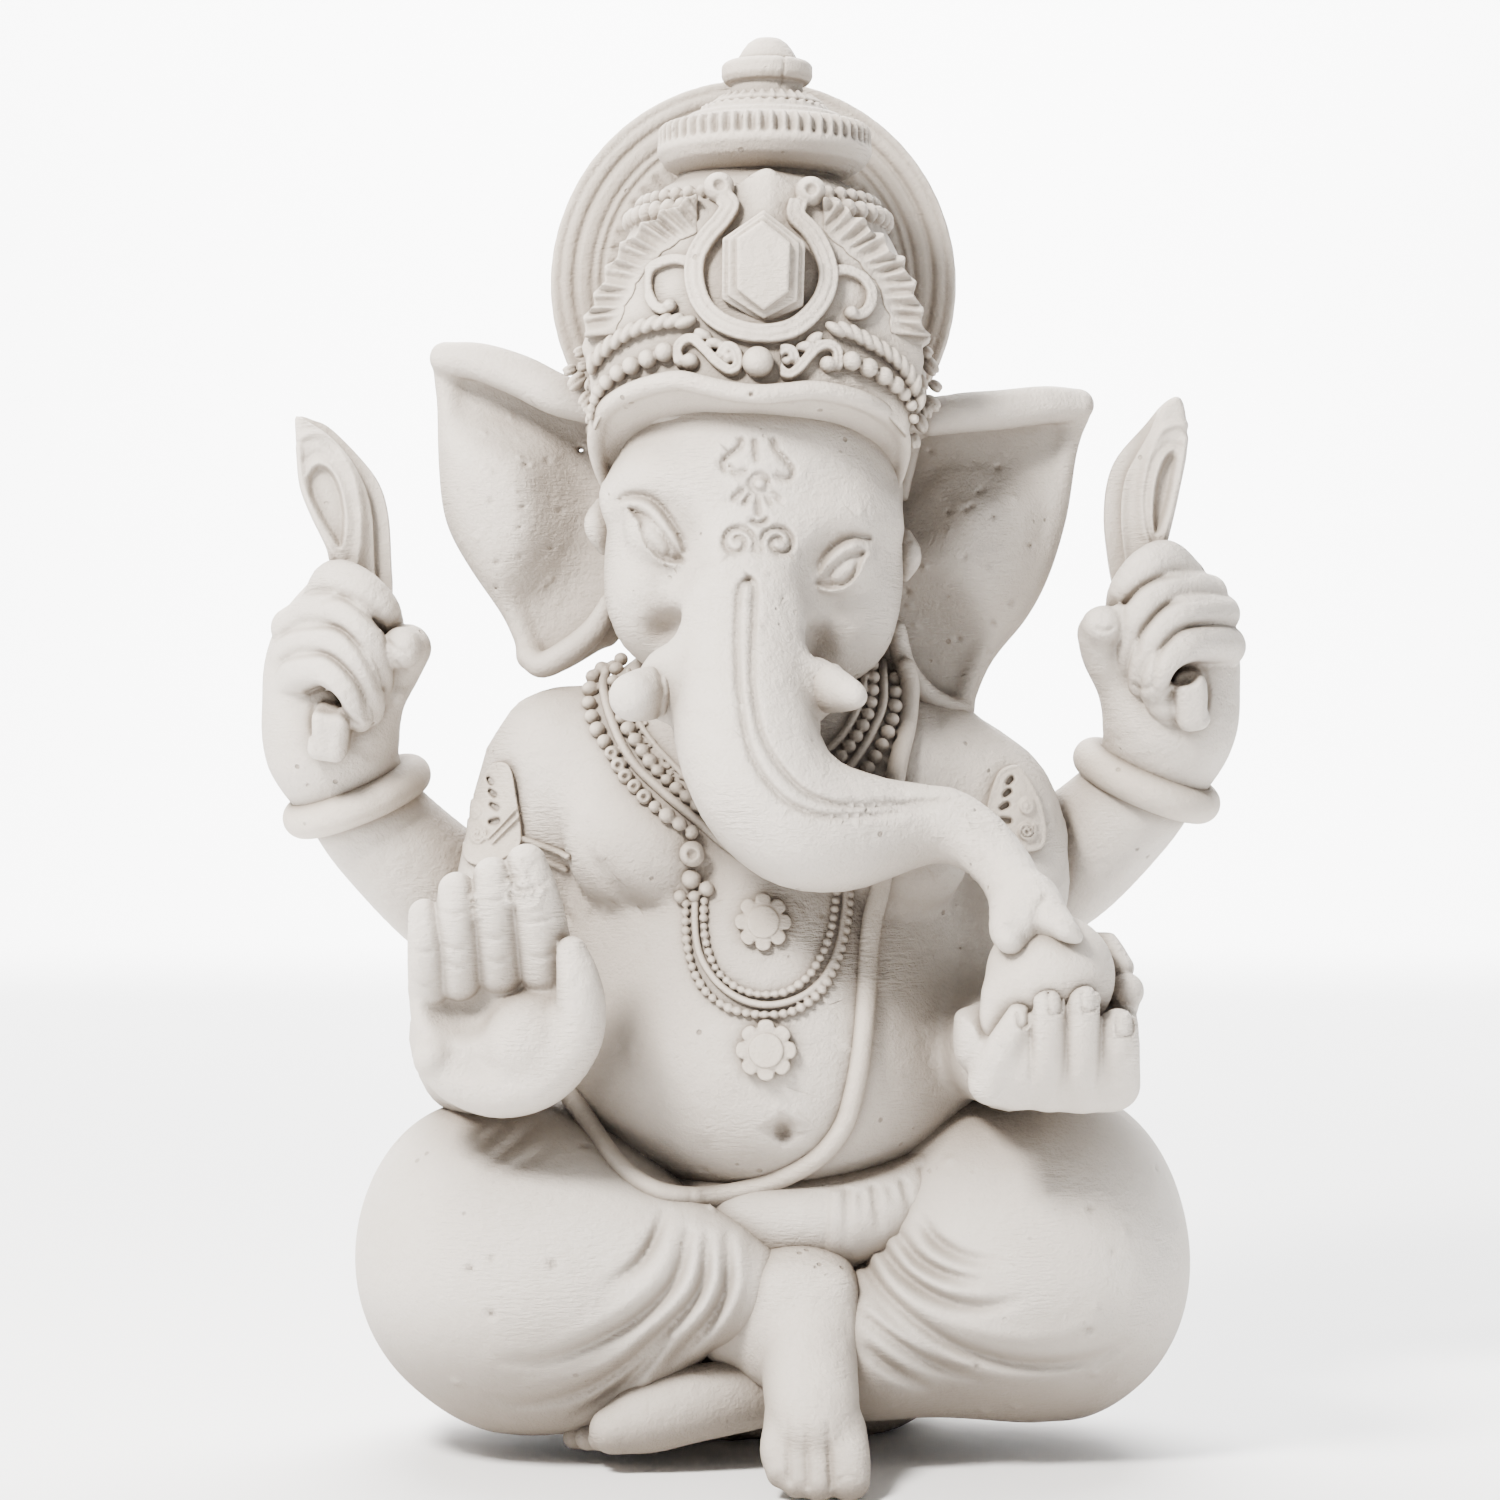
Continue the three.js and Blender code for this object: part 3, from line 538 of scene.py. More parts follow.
def plaster(name, colour, shade, pores, grain):
    """Bare cast plaster: faint cloudiness, fine tooth, brushed sanding marks, air-bubble pits and painted
    shade in folds and pits.

    Clouds and specks mix the colour and its shade. Noise scales are features per metre.
    """
    material = bpy.data.materials.new(name)
    material.use_nodes = True
    nodes, links = material.node_tree.nodes, material.node_tree.links
    bsdf = nodes["Principled BSDF"]
    where = nodes.new("ShaderNodeTexCoord").outputs["Object"]

    def node(kind, **values):
        made = nodes.new(kind)
        for key, value in values.items():
            if key in made.inputs:
                made.inputs[key].default_value = value
            else:
                setattr(made, key, value)
        return made

    def noise(scale, detail=3.0, stretch=(1, 1, 1)):
        mapping = node("ShaderNodeMapping")
        mapping.inputs["Scale"].default_value = stretch
        made = node("ShaderNodeTexNoise", Scale=scale, Detail=detail, Roughness=0.55)
        links.new(where, mapping.inputs["Vector"])
        links.new(mapping.outputs["Vector"], made.inputs["Vector"])
        return made.outputs["Fac"]

    def ramp(value, low, high, first=0.0, last=1.0):
        made = node("ShaderNodeMapRange", clamp=True)
        for key, number in zip(("From Min", "From Max", "To Min", "To Max"), (low, high, first, last)):
            made.inputs[key].default_value = number
        links.new(value, made.inputs["Value"])
        return made.outputs["Result"]

    def mix_value(a, b, kind):
        made = node("ShaderNodeMath", operation=kind)
        for socket, value in zip(made.inputs, (a, b)):
            if hasattr(value, "links"):
                links.new(value, socket)
            else:
                socket.default_value = value
        return made.outputs["Value"]

    def openness(reach, power):
        """How open the surface is within a reach; small in folds, creases and undercuts."""
        made = node("ShaderNodeAmbientOcclusion", Distance=reach, samples=8)
        return mix_value(made.outputs["AO"], power, "POWER")

    cloud = ramp(noise(28, 4), 0.35, 0.68)
    speck = ramp(noise(900, 2), 0.4, 0.75)
    tone = node("ShaderNodeMix", data_type="RGBA")
    tone.inputs[6].default_value = (*colour, 1)
    tone.inputs[7].default_value = (*shade, 1)
    links.new(mix_value(mix_value(cloud, 0.75, "MULTIPLY"), mix_value(speck, 0.25, "MULTIPLY"), "ADD"),
              tone.inputs[0])

    cells = node("ShaderNodeTexVoronoi", Scale=260.0, Randomness=1.0)
    links.new(where, cells.inputs["Vector"])
    chosen = ramp(noise(75, 2), 0.60, 0.64)
    pit = mix_value(ramp(cells.outputs["Distance"], 0.10, 0.16, 1.0, 0.0), chosen, "MULTIPLY")
    pit = mix_value(pit, pores, "MULTIPLY")
    # Painted shade: the pits that the bump sinks are darkened in colour as well.
    painted_pit_shade = node("ShaderNodeMix", data_type="RGBA")
    painted_pit_shade.inputs[7].default_value = (*PIT_SHADE, 1)
    links.new(pit, painted_pit_shade.inputs[0])
    links.new(tone.outputs[2], painted_pit_shade.inputs[6])
    # Painted shade: the colour darkens where ambient occlusion within 38 mm and within 3 mm finds the
    # surface closed in, in folds, undercuts and between parts.
    hollow = node("ShaderNodeMix", data_type="RGBA")
    hollow.inputs[6].default_value = (*PAINTED_SHADE, 1)
    links.new(mix_value(openness(0.038, 1.9), openness(0.003, 1.2), "MULTIPLY"), hollow.inputs[0])
    links.new(painted_pit_shade.outputs[2], hollow.inputs[7])
    links.new(hollow.outputs[2], bsdf.inputs["Base Color"])

    tooth = noise(1500, 3)
    lumps = noise(330, 3)
    brushed = noise(420, 2, (1.0, 0.35, 5.0))
    height = mix_value(mix_value(tooth, 0.35, "MULTIPLY"), mix_value(lumps, 0.7, "MULTIPLY"), "ADD")
    sanded = mix_value(mix_value(brushed, ramp(noise(35, 2), 0.5, 0.66), "MULTIPLY"), 0.9, "MULTIPLY")
    height = mix_value(height, sanded, "ADD")
    height = mix_value(height, mix_value(pit, -1.6, "MULTIPLY"), "ADD")
    bump = node("ShaderNodeBump", Strength=grain, Distance=BUMP_HEIGHT)
    links.new(height, bump.inputs["Height"])
    links.new(bump.outputs["Normal"], bsdf.inputs["Normal"])
    dull = ramp(noise(160, 2), 0.3, 0.7, ROUGHNESS - 0.06, ROUGHNESS + 0.08)
    links.new(dull, bsdf.inputs["Roughness"])
    bsdf.inputs["IOR"].default_value = 1.45
    bsdf.inputs["Specular IOR Level"].default_value = 0.32
    return material


SKIN = "plaster_skin"
CLOTH = "plaster_cloth"
CROWN = "plaster_crown"
JEWEL = "plaster_jewellery"
HELD = "plaster_held"
MATERIALS = {
    SKIN: plaster(SKIN, (0.650, 0.598, 0.540), (0.575, 0.520, 0.460), pores=0.7, grain=0.6),
    CLOTH: plaster(CLOTH, (0.645, 0.600, 0.548), (0.575, 0.525, 0.468), pores=0.5, grain=0.45),
    CROWN: plaster(CROWN, (0.650, 0.588, 0.520), (0.565, 0.500, 0.430), pores=0.7, grain=0.6),
    JEWEL: plaster(JEWEL, (0.640, 0.575, 0.505), (0.550, 0.485, 0.410), pores=0.5, grain=0.5),
    HELD: plaster(HELD, (0.645, 0.588, 0.525), (0.570, 0.510, 0.445), pores=0.5, grain=0.5),
}


# ------------------------------------------------------------------------------ the torso
FRONTS = {}  # how far forward the torso, head and crown reach, for laying strings on them


def torso():
    clay = Clay((-75, -56, -1), (66, 50, 162), 0.78)
    clay.add(ball((0, 8, 30), (49, 37, 36)))
    clay.add(ball((1, -4, 77), (43, 40, 34)), 5)
    clay.add(ball((0, 0, 103), (40, 33, 34)), 12)
    clay.add(ball((-2, 2, 128), (43, 25, 20)), 14)
    clay.add(ball((-3, 2, 144), (30, 21, 17)), 12)
    clay.add(ball((-1, 14, 88), (37, 27, 64)), 10)
    # the breasts, each with a crease beneath it
    clay.add(ball((-21.9, -17, 116.5), (17.5, 15.6, 14.0), (14, 0, 14)), 2.2)
    clay.add(ball((21.9, -17, 116.1), (17.5, 15.6, 14.0), (14, 0, -14)), 2.2)
    clay.curves([[(-36.8, 123.9, 0.1), (-35.3, 118.5, 0.7), (-32, 112.5, 1), (-27.1, 107.3, 1),
                  (-22.2, 105.4, 0.9), (-17.2, 106.2, 0.3)]], 1.6, 0.9)
    clay.add(limb([(-31.2, -8, 128.1, 11), (-41.5, -2, 134, 13)]), 10)
    # upper and lower front arms, right then left
    clay.add(limb([(-41.8, 3, 134, 13.5), (-45.2, 3, 126, 14), (-48.7, 1, 112, 13.2),
                   (-54.4, -2, 94.1, 12.4), (-58.5, -4, 79.3, 12)]), 5)
    clay.add(limb([(-58.5, -4, 79.3, 12), (-57.2, -20, 75.3, 10.8), (-51.6, -40, 77.1, 8.6)]), 4)
    clay.add(limb([(33.5, 3, 132, 14), (43.6, 3, 122.9, 15), (46.5, 1, 110, 14), (43.2, -3, 96.2, 12.6),
                   (38.6, -4, 88.3, 11.8)]), 5)
    clay.add(limb([(38.6, -4, 88.3, 11.8), (42.1, -22, 79.8, 11), (45.6, -42, 77.6, 9.8)]), 4)
    # navel
    clay.draw([[(2.6, 64.4), (2.8, 63.9)]], 1.7, 3.4, nearer_than=-25)
    clay.draw([[(0.4, 66.7), (2.8, 67.8), (5.3, 66.7)]], 1.3, -0.5, nearer_than=-25)
    clay.draw([[(-4.5, 57.6), (0.4, 56.3), (6, 57)]], 2.2, 0.25)
    # skin folds where the arms meet the chest
    clay.draw([[(-41.1, 105.3, 1), (-38.1, 101.5, 1), (-36.6, 97.7, 0.1)]], 0.5, 0.5)
    clay.floor()
    FRONTS["torso"] = Front(clay)
    FRONTS["torso_back"] = Back(clay)
    blemish(clay, FRONTS["torso"], 31, 44, (-56, 52), (48, 140), (0.5, 0.9))
    return clay.piece("torso_skin", SKIN, ["torso", "front_arm_right", "front_arm_left"], 0.12)


# ----------------------------------------------------------------------- the head and trunk
EYES = [
    dict(mid=(-21.7, -30, 177.2), socket=(8.6, 6.5, 8.0), mound=(6.6, 4.4, 4.8), turn=(0, 40, -20),
         crease=[(-28.6, 184.4), (-25.9, 185.1), (-22.2, 184), (-19.3, 180.6), (-17, 176.9),
                 (-16.1, 174.2)],
         top=[(-26.7, 182.5), (-25, 181.8), (-22.7, 180.5), (-20, 177.4), (-17.9, 174.6), (-16.3, 172.1)],
         bottom=[(-26.5, 181.9), (-25.1, 180.1), (-24.5, 177.8), (-23.3, 175), (-21.2, 172.8),
                 (-18.9, 172), (-16.5, 171.9)],
         ball=[(-25.1, 180.1), (-22.6, 179.2), (-19.8, 176), (-18.3, 172.9), (-21.2, 173.4),
               (-23.3, 175.4), (-24.5, 178.2)],
         iris=[[(-20.2, 177.4), (-19.1, 175.1), (-19.3, 173)],
               [(-23.9, 179.4), (-24.3, 177.3), (-23.3, 175.2)]]),
    dict(mid=(14.4, -31, 170.8), socket=(7.6, 6.5, 6.8), mound=(6.0, 4.4, 4.2), turn=(0, -30, 20),
         crease=[(9.1, 167.9), (10.3, 172.1), (12.6, 175), (15.8, 176.8), (19.2, 176.7)],
         top=[(9.3, 168.1), (10.6, 170), (12.1, 171.2), (14.9, 173.2), (18.2, 174.1)],
         bottom=[(9.5, 167.4), (12.1, 166.8), (14.9, 167.5), (16.8, 169.4), (18.1, 172.8)],
         ball=[(10.3, 168.5), (12.6, 170.4), (15.3, 172.1), (17.2, 172.7), (16.2, 169.6), (14.3, 167.9),
               (12, 167.4)],
         iris=[[(12, 170.2), (11.5, 168.9), (12, 167.6)], [(16.8, 172.6), (16.8, 170.9), (15.6, 168.8)]]),
]


def head():
    face = -25  # the marks on forehead and trunk stop at this y
    clay = Clay((-40, -68, 97), (62, 34, 219), 0.5)
    clay.add(ball((-2.8, 0, 186), (29.3, 33, 30)))
    clay.add(ball((-2.2, -9, 189.7), (26.8, 27.5, 27)), 6)
    clay.add(ball((-2.6, -4, 171), (27.0, 27, 22)), 8)
    # cheeks and jaw
    clay.add(ball((-22, -14, 169.3), (9.4, 16.5, 15), (0, 10, 0)), 7)
    clay.add(ball((16.1, -14, 167.8), (9.2, 16.5, 15.5), (0, -8, 0)), 7)
    clay.add(ball((-17.1, -14, 159.5), (7.6, 15, 9.5)), 6)
    clay.add(ball((12.2, -14, 158), (7.6, 15, 9.5)), 6)
    # the brow over each eye
    clay.add(limb([(-28.4, -20, 185.4, 4), (-22.4, -25, 188.1, 5), (-16.1, -29, 183.4, 4)]), 8)
    clay.add(limb([(8.1, -30, 175.1, 4), (14.2, -27, 181, 5), (21, -20, 180.7, 4)]), 8)
    # trunk: down the front, then across to the figure's left and down to the sweet
    clay.add(limb([(-3.1, -21, 180.7, 14), (-3.5, -28, 169.6, 13.4), (-4.8, -35, 158.8, 13),
                   (-5.1, -42, 147.3, 13.3), (-4.1, -46, 137.9, 13.5), (-0.7, -48, 129.3, 13.4),
                   (5.4, -48, 123.3, 13.2), (12.5, -47, 121.2, 12), (19.7, -46, 121.2, 9.8),
                   (26.6, -45, 121.9, 8), (33.2, -45, 121.8, 7.1), (39.1, -47, 118.8, 6.1),
                   (43.5, -51, 113.9, 5.5), (45.9, -56, 109.1, 5.6), (47.5, -60, 105.2, 5.9)], 6), 7)
    # the tip: a broad lip and a pointed finger, with a notch between
    clay.add(limb([(45.2, -59, 107, 4.8), (44, -62, 103.5, 4), (43.9, -64, 101.7, 3)]), 2)
    clay.add(limb([(48.8, -59, 108.5, 4.6), (51.5, -63, 105.3, 3.4), (53.8, -66, 103.3, 2.3),
                   (55.5, -66.5, 102.1, 1.4)]), 2)
    clay.cut(ball((48.9, -68, 100.5), (2.2, 4, 2.8)), 1.6)
    clay.curves([[(48.7, 102.2), (48.3, 104.4), (48.7, 107.3), (50, 109.1)]], 0.6, 0.55, nearer_than=-55)
    # tusk sheaths
    clay.add(limb([(-14.1, -35, 152.7, 8.4), (-19.1, -40, 147.7, 6.4)]), 3.5)
    clay.add(limb([(4.9, -37, 152.3, 8.2), (8.9, -42, 148.1, 5.9)]), 3.5)
    # dents between cheek and sheath
    clay.cut(ball((-19.8, -33, 158.7), (4.2, 7, 2.8), (0, -25, 0)), 4)
    clay.cut(ball((9.7, -37, 155.7), (3.0, 8, 4.0), (0, -20, 0)), 4)
    # the eyes: a socket, a mound, then lids, opening, ball and iris drawn as relief
    for eye in EYES:
        mid = np.array(eye["mid"])
        clay.cut(ball(mid - (0, 7.4, 0), eye["socket"], eye["turn"]), 5)
        clay.add(ball(mid + (0, 1.0, 0), eye["mound"], eye["turn"]), 3.2)
        opening = Outline(eye["top"] + eye["bottom"][::-1], 4)
        lid = [((a[0] + b[0]) / 2, (a[1] + b[1]) / 2) for a, b in
               zip(evenly(eye["crease"], 1.5), evenly(eye["top"], 1.5))]
        clay.draw([lid], 1.0, -0.75)
        clay.stamp(opening, 1.15, 0.9)
        clay.stamp(Outline(eye["ball"], 4), -0.55, 3.6)
        clay.curves([eye["crease"]], 0.55, 0.85)
        clay.draw([smooth_line([(x + 0.1, z - 0.5) for x, z in eye["bottom"]])], 0.55, -0.45)
        clay.curves(eye["iris"], 0.32, 0.38)
    # the engraved forehead ornament
    marks = [
        [(-5.2, 195), (-5.4, 193.7), (-7.2, 192.4), (-8.7, 190.8), (-8.4, 189.2)],
        [(-7.4, 189.9), (-6.5, 188.6), (-4.5, 188.8)],
        [(-2.7, 194.7), (-2.4, 191.2)],
        [(0.8, 194.9), (1.5, 192.9), (3.3, 191), (4.5, 189.1), (3.8, 187.6), (1.4, 187.9)],
        [(-5, 185.2), (-6.7, 183.7)], [(-3.7, 184.3), (-4.7, 182.8)], [(-2.1, 183.9), (-2.1, 182.2)],
        [(-0.5, 184.3), (0.2, 182.9)], [(0.6, 184.7), (1.8, 183.6)],
        [(-3.1, 179.3), (-1.8, 178.9), (-0.5, 179.6)],
    ]
    marks = [smooth_line(line) for line in marks]
    marks.append(arc((-1.8, 186.6), 1.7, 0, 360, 25))
    marks.append([(-2, 181.2), (-2, 180.8)])
    # a plain pair of scrolls below it
    for side in (-1, 1):
        hub = np.array((-2.1, 175.2)) + (side * 3.9, 0)
        marks.append(spiral(hub, (3.5, 0.9), (math.radians(205), math.radians(-300)), 26, side))
    clay.draw(marks, 0.55, 1.15, nearer_than=face)
    # two parallel grooves down the trunk
    outer = [(-3.8, 168), (-5.3, 166.7), (-5.9, 162.2), (-6, 154.6), (-5.4, 145.4), (-3.8, 136.4),
             (-0.6, 130.3), (3.9, 126.1), (10.3, 123.9), (18.5, 124), (26.7, 124.8), (32.9, 125.2),
             (38.5, 123), (42.1, 118.9)]
    inner = [(-3.8, 168), (-2.7, 166.7), (-2.9, 159.9), (-3.2, 153.7), (-3, 147.1), (-1.5, 138.9),
             (1.7, 133.1), (6.5, 128.2), (13.1, 125.9), (21.2, 125.7), (29.5, 126.3), (34.9, 126.2),
             (39.5, 123.9), (42.8, 119.6)]

    def fade(line):
        """The same line, its strength falling off over its last points."""
        return [(x, z, min(1.0, 0.15 + 0.22 * (len(line) - 1 - i))) for i, (x, z) in enumerate(line)]

    clay.curves([fade(outer), fade(inner)], 0.6, 1.0, nearer_than=face)
    # shallow skin wrinkles across the end of the trunk
    rng = np.random.default_rng(4)
    wrinkles = 15
    for i in range(wrinkles):
        x, z = 39.6 + 0.56 * i, 115.1 - 1.05 * i
        w = 3.2 + 0.25 * i
        tilt = 0.9 - 0.06 * i
        clay.draw([[(x - w, z + w * tilt * 0.5, 0.2), (x, z + rng.normal(0, 0.2), 1),
                    (x + w, z - w * tilt * 0.5, 0.2)]], 0.45, 0.22, nearer_than=-40)
    FRONTS["head"] = Front(clay)
    blemish(clay, FRONTS["head"], 32, 64, (-30, 104), (50, 214), (0.32, 0.62))
    return clay.piece("head_and_trunk_skin", SKIN, ["head", "trunk", "eye_right", "eye_left"], 0.12)


def tusks():
    clay = Clay((-36, -60, 134), (-8, -28, 162), 0.4)
    clay.add(limb([(-20, -40, 147, 5), (-23.1, -45, 146.5, 5), (-25.3, -49, 145.9, 4.6)]))
    clay.draw([[(-20.7, 152), (-19.9, 147.2), (-20.7, 141.2)]], 0.5, 0.6, nearer_than=-42)
    clay.cut(ball((-23.3, -55, 148.4), (0.45, 1.6, 0.45)), 0.2)
    clay.cast("tusk_right", SKIN)
    clay = Clay((0, -64, 134), (28, -30, 162), 0.4)
    clay.add(limb([(8.3, -41, 148.4, 5.2), (11.2, -45, 147.4, 4.5), (14.5, -49.5, 146.4, 3.2),
                   (15.8, -51, 146, 2.4)]))
    clay.cast("tusk_left", SKIN)


# ------------------------------------------------------------------------------- the ears
def ear(side, plan):
    """A thick leaf with a rolled upper edge, full in the middle and hollow round that."""
    clay = Clay(plan["low"], plan["high"], 0.5)
    leaf = Outline(plan["outline"], 5)
    hub = plan["hub"]
    tilt = 8 if side == "left" else -8

    bend, half_width, half, rounding = 2.5, 30, 3.2, 2.6

    def distance(x, y, z):
        lean = hub[1] + bend * (np.abs(x - hub[0]) / half_width) ** 2
        return between(leaf(x, z), y - lean, half, rounding)

    corners_low = np.array([leaf.points[:, 0].min(), hub[1] - 8, leaf.points[:, 1].min()])
    corners_high = np.array([leaf.points[:, 0].max(), hub[1] + 12, leaf.points[:, 1].max()])
    clay.add((corners_low, corners_high, distance))
    clay.add(ball(*plan["swell"], (0, tilt, 0)), 10)
    for at, radii, turn in plan["hollows"]:
        clay.cut(ball(at, radii, (0, turn, 0)), 9)
    for line in plan["rolls"]:
        clay.add(limb(line), 3.0)
    clay.add(limb(plan["nub"]), 3.0)
    rng = np.random.default_rng(17 if side == "left" else 18)
    for _ in range(34):
        at = np.array(plan["swell"][0]) + (rng.normal(0, 11), 0, rng.normal(0, 17))
        clay.draw([[(at[0], at[2]), (at[0] + 0.05, at[2])]], rng.uniform(0.3, 0.6),
                  rng.choice([0.6, -0.4]), nearer_than=12)
    return clay.cast(f"ear_{side}", SKIN)


def ears():
    ear("right", dict(
        outline=[(-66.5, 217.3), (-60.1, 216.3), (-52, 214.1), (-44.8, 210.8), (-35.7, 207.2),
                 (-25.7, 198.2), (-24.1, 182.1), (-26.5, 166.1), (-30.2, 158.1), (-33.8, 156.1),
                 (-39.9, 152.5), (-45, 150.7), (-47.8, 152.5), (-49.6, 158.2), (-53, 165.2),
                 (-58.5, 174.3), (-63.1, 182.4), (-64.7, 192.5), (-65.9, 204.6), (-67.6, 213.6)],
        hub=(-38, 5), swell=((-49.6, 3, 187.8), (13, 5.8, 19)),
        hollows=[((-49.4, -3, 204.1), (17, 6.8, 6.5), 20), ((-35.4, -5, 190), (8, 7.8, 14), 12),
                 ((-40.2, -3.5, 167.4), (7.5, 6.4, 13), 38)],
        rolls=[[(-64.7, 3, 214.7, 3.2), (-57.7, 1, 213.7, 3.8), (-49.5, -1, 210.7, 4.2),
                (-42.2, -3, 206.9, 4.2), (-35.4, -4, 204.6, 3.8)],
               [(-64.5, 6, 209.6, 1.6), (-63.5, 6, 196.5, 1.5), (-61.5, 6, 184, 1.5),
                (-56.9, 6, 174.3, 1.5), (-52, 5, 165, 1.5), (-48.5, 4, 156.1, 1.6)],
               [(-47.9, 2, 154.5, 2.2), (-45, 0, 153, 2.6), (-39.9, -1, 155.6, 2.7),
                (-34.8, -1, 160, 2.5), (-31.1, -2, 165.9, 2)]],
        nub=[(-32.8, -8, 184.5, 1.6), (-33.4, -9, 180.4, 3), (-32.4, -8, 176, 1.5)],
        low=(-74, -14, 148), high=(-14, 24, 224)))
    ear("left", dict(
        outline=[(63.7, 207.4), (64.1, 204.2), (61.7, 197.5), (60.5, 190.4), (58.9, 181.4), (55.9, 171.3),
                 (51.8, 163.2), (45.8, 156.2), (41.1, 148.5), (40, 143.6), (39, 140.8), (33.6, 143.6),
                 (27.5, 146), (22.5, 148), (20.5, 158.1), (18.9, 174.1), (22.5, 196.2), (31.5, 206.3),
                 (42.7, 207.3), (54.9, 208.4)],
        hub=(34, 5), swell=((37.2, 3, 180.8), (13, 5.9, 19)),
        hollows=[((43.2, -3, 196.5), (18, 6.9, 7.5), -8), ((26.4, -5, 192), (8, 7.8, 14), -12),
                 ((33, -3.5, 157.5), (7.5, 6.4, 13), -30)],
        rolls=[[(62.3, 3, 205.3, 3.2), (55.5, 1, 205.1, 3.8), (46.3, -1, 203.9, 4), (38.2, -3, 203.1, 4),
                (32.2, -4, 202, 3.6)],
               [(62.1, 6, 202.6, 1.6), (60.1, 6, 194.5, 1.5), (58.3, 6, 183.4, 1.5),
                (54.4, 6, 171.9, 1.5), (49.6, 6, 163.4, 1.5), (43.5, 5, 155.1, 1.5),
                (39.8, 4, 146.1, 1.6)],
               [(38.9, 2, 143.2, 2.2), (35.6, 0, 144.4, 2.5), (31.4, -1, 147, 2.5),
                (27.3, -3, 152.3, 2.3), (25.5, -4, 159.9, 2)]],
        nub=[(27.1, -8, 178.5, 1.4), (27.7, -9, 174.3, 2.6), (26.9, -8, 170.6, 1.4)],
        low=(12, -16, 134), high=(72, 24, 216)))


# --------------------------------------------------------------- rear arms, bangles, hands
REAR_ARMS = {
    "right": [(-88.5, 4, 137, 11.2), (-86.1, 6, 131.6, 11.1), (-83.1, 8, 126.5, 11.2),
              (-77.1, 10, 118.4, 11.7), (-64.4, 16, 106.2, 13), (-53.2, 22, 99.9, 13.5)],
    "left": [(81.2, 4, 140.4, 11.2), (79.1, 6, 135, 11.1), (76.6, 8, 129.9, 11.2), (71, 10, 122.8, 11.7),
             (60.7, 16, 113.1, 13), (49.9, 22, 106.1, 13.5)],
}
BANGLES = {"right": ((-83.1, 8, 126.7), (-0.36, -0.2, 0.93)),
           "left": ((76.6, 8, 129.9), (0.38, -0.2, 0.93))}


def rear_arms():
    for side, low, high in (("right", (-101, -10, 88), (-46, 38, 140)),
                            ("left", (40, -10, 90), (98, 38, 142))):
        clay = Clay(low, high, 0.7)
        clay.add(limb(REAR_ARMS[side][2:], 8))
        clay.cast(f"rear_arm_{side}", SKIN)


def bangles():
    for side, (at, normal) in BANGLES.items():
        clay = Clay(np.array(at) - (19, 18, 15), np.array(at) + (19, 18, 15), 0.5)
        clay.add(hoop(at, normal, 12.3, 3.5, 1.05))
        clay.cast(f"bangle_{side}", JEWEL)


def finger(clay, points, blend=0.5):
    """One finger or toe."""
    clay.add(limb(points, 4), blend)


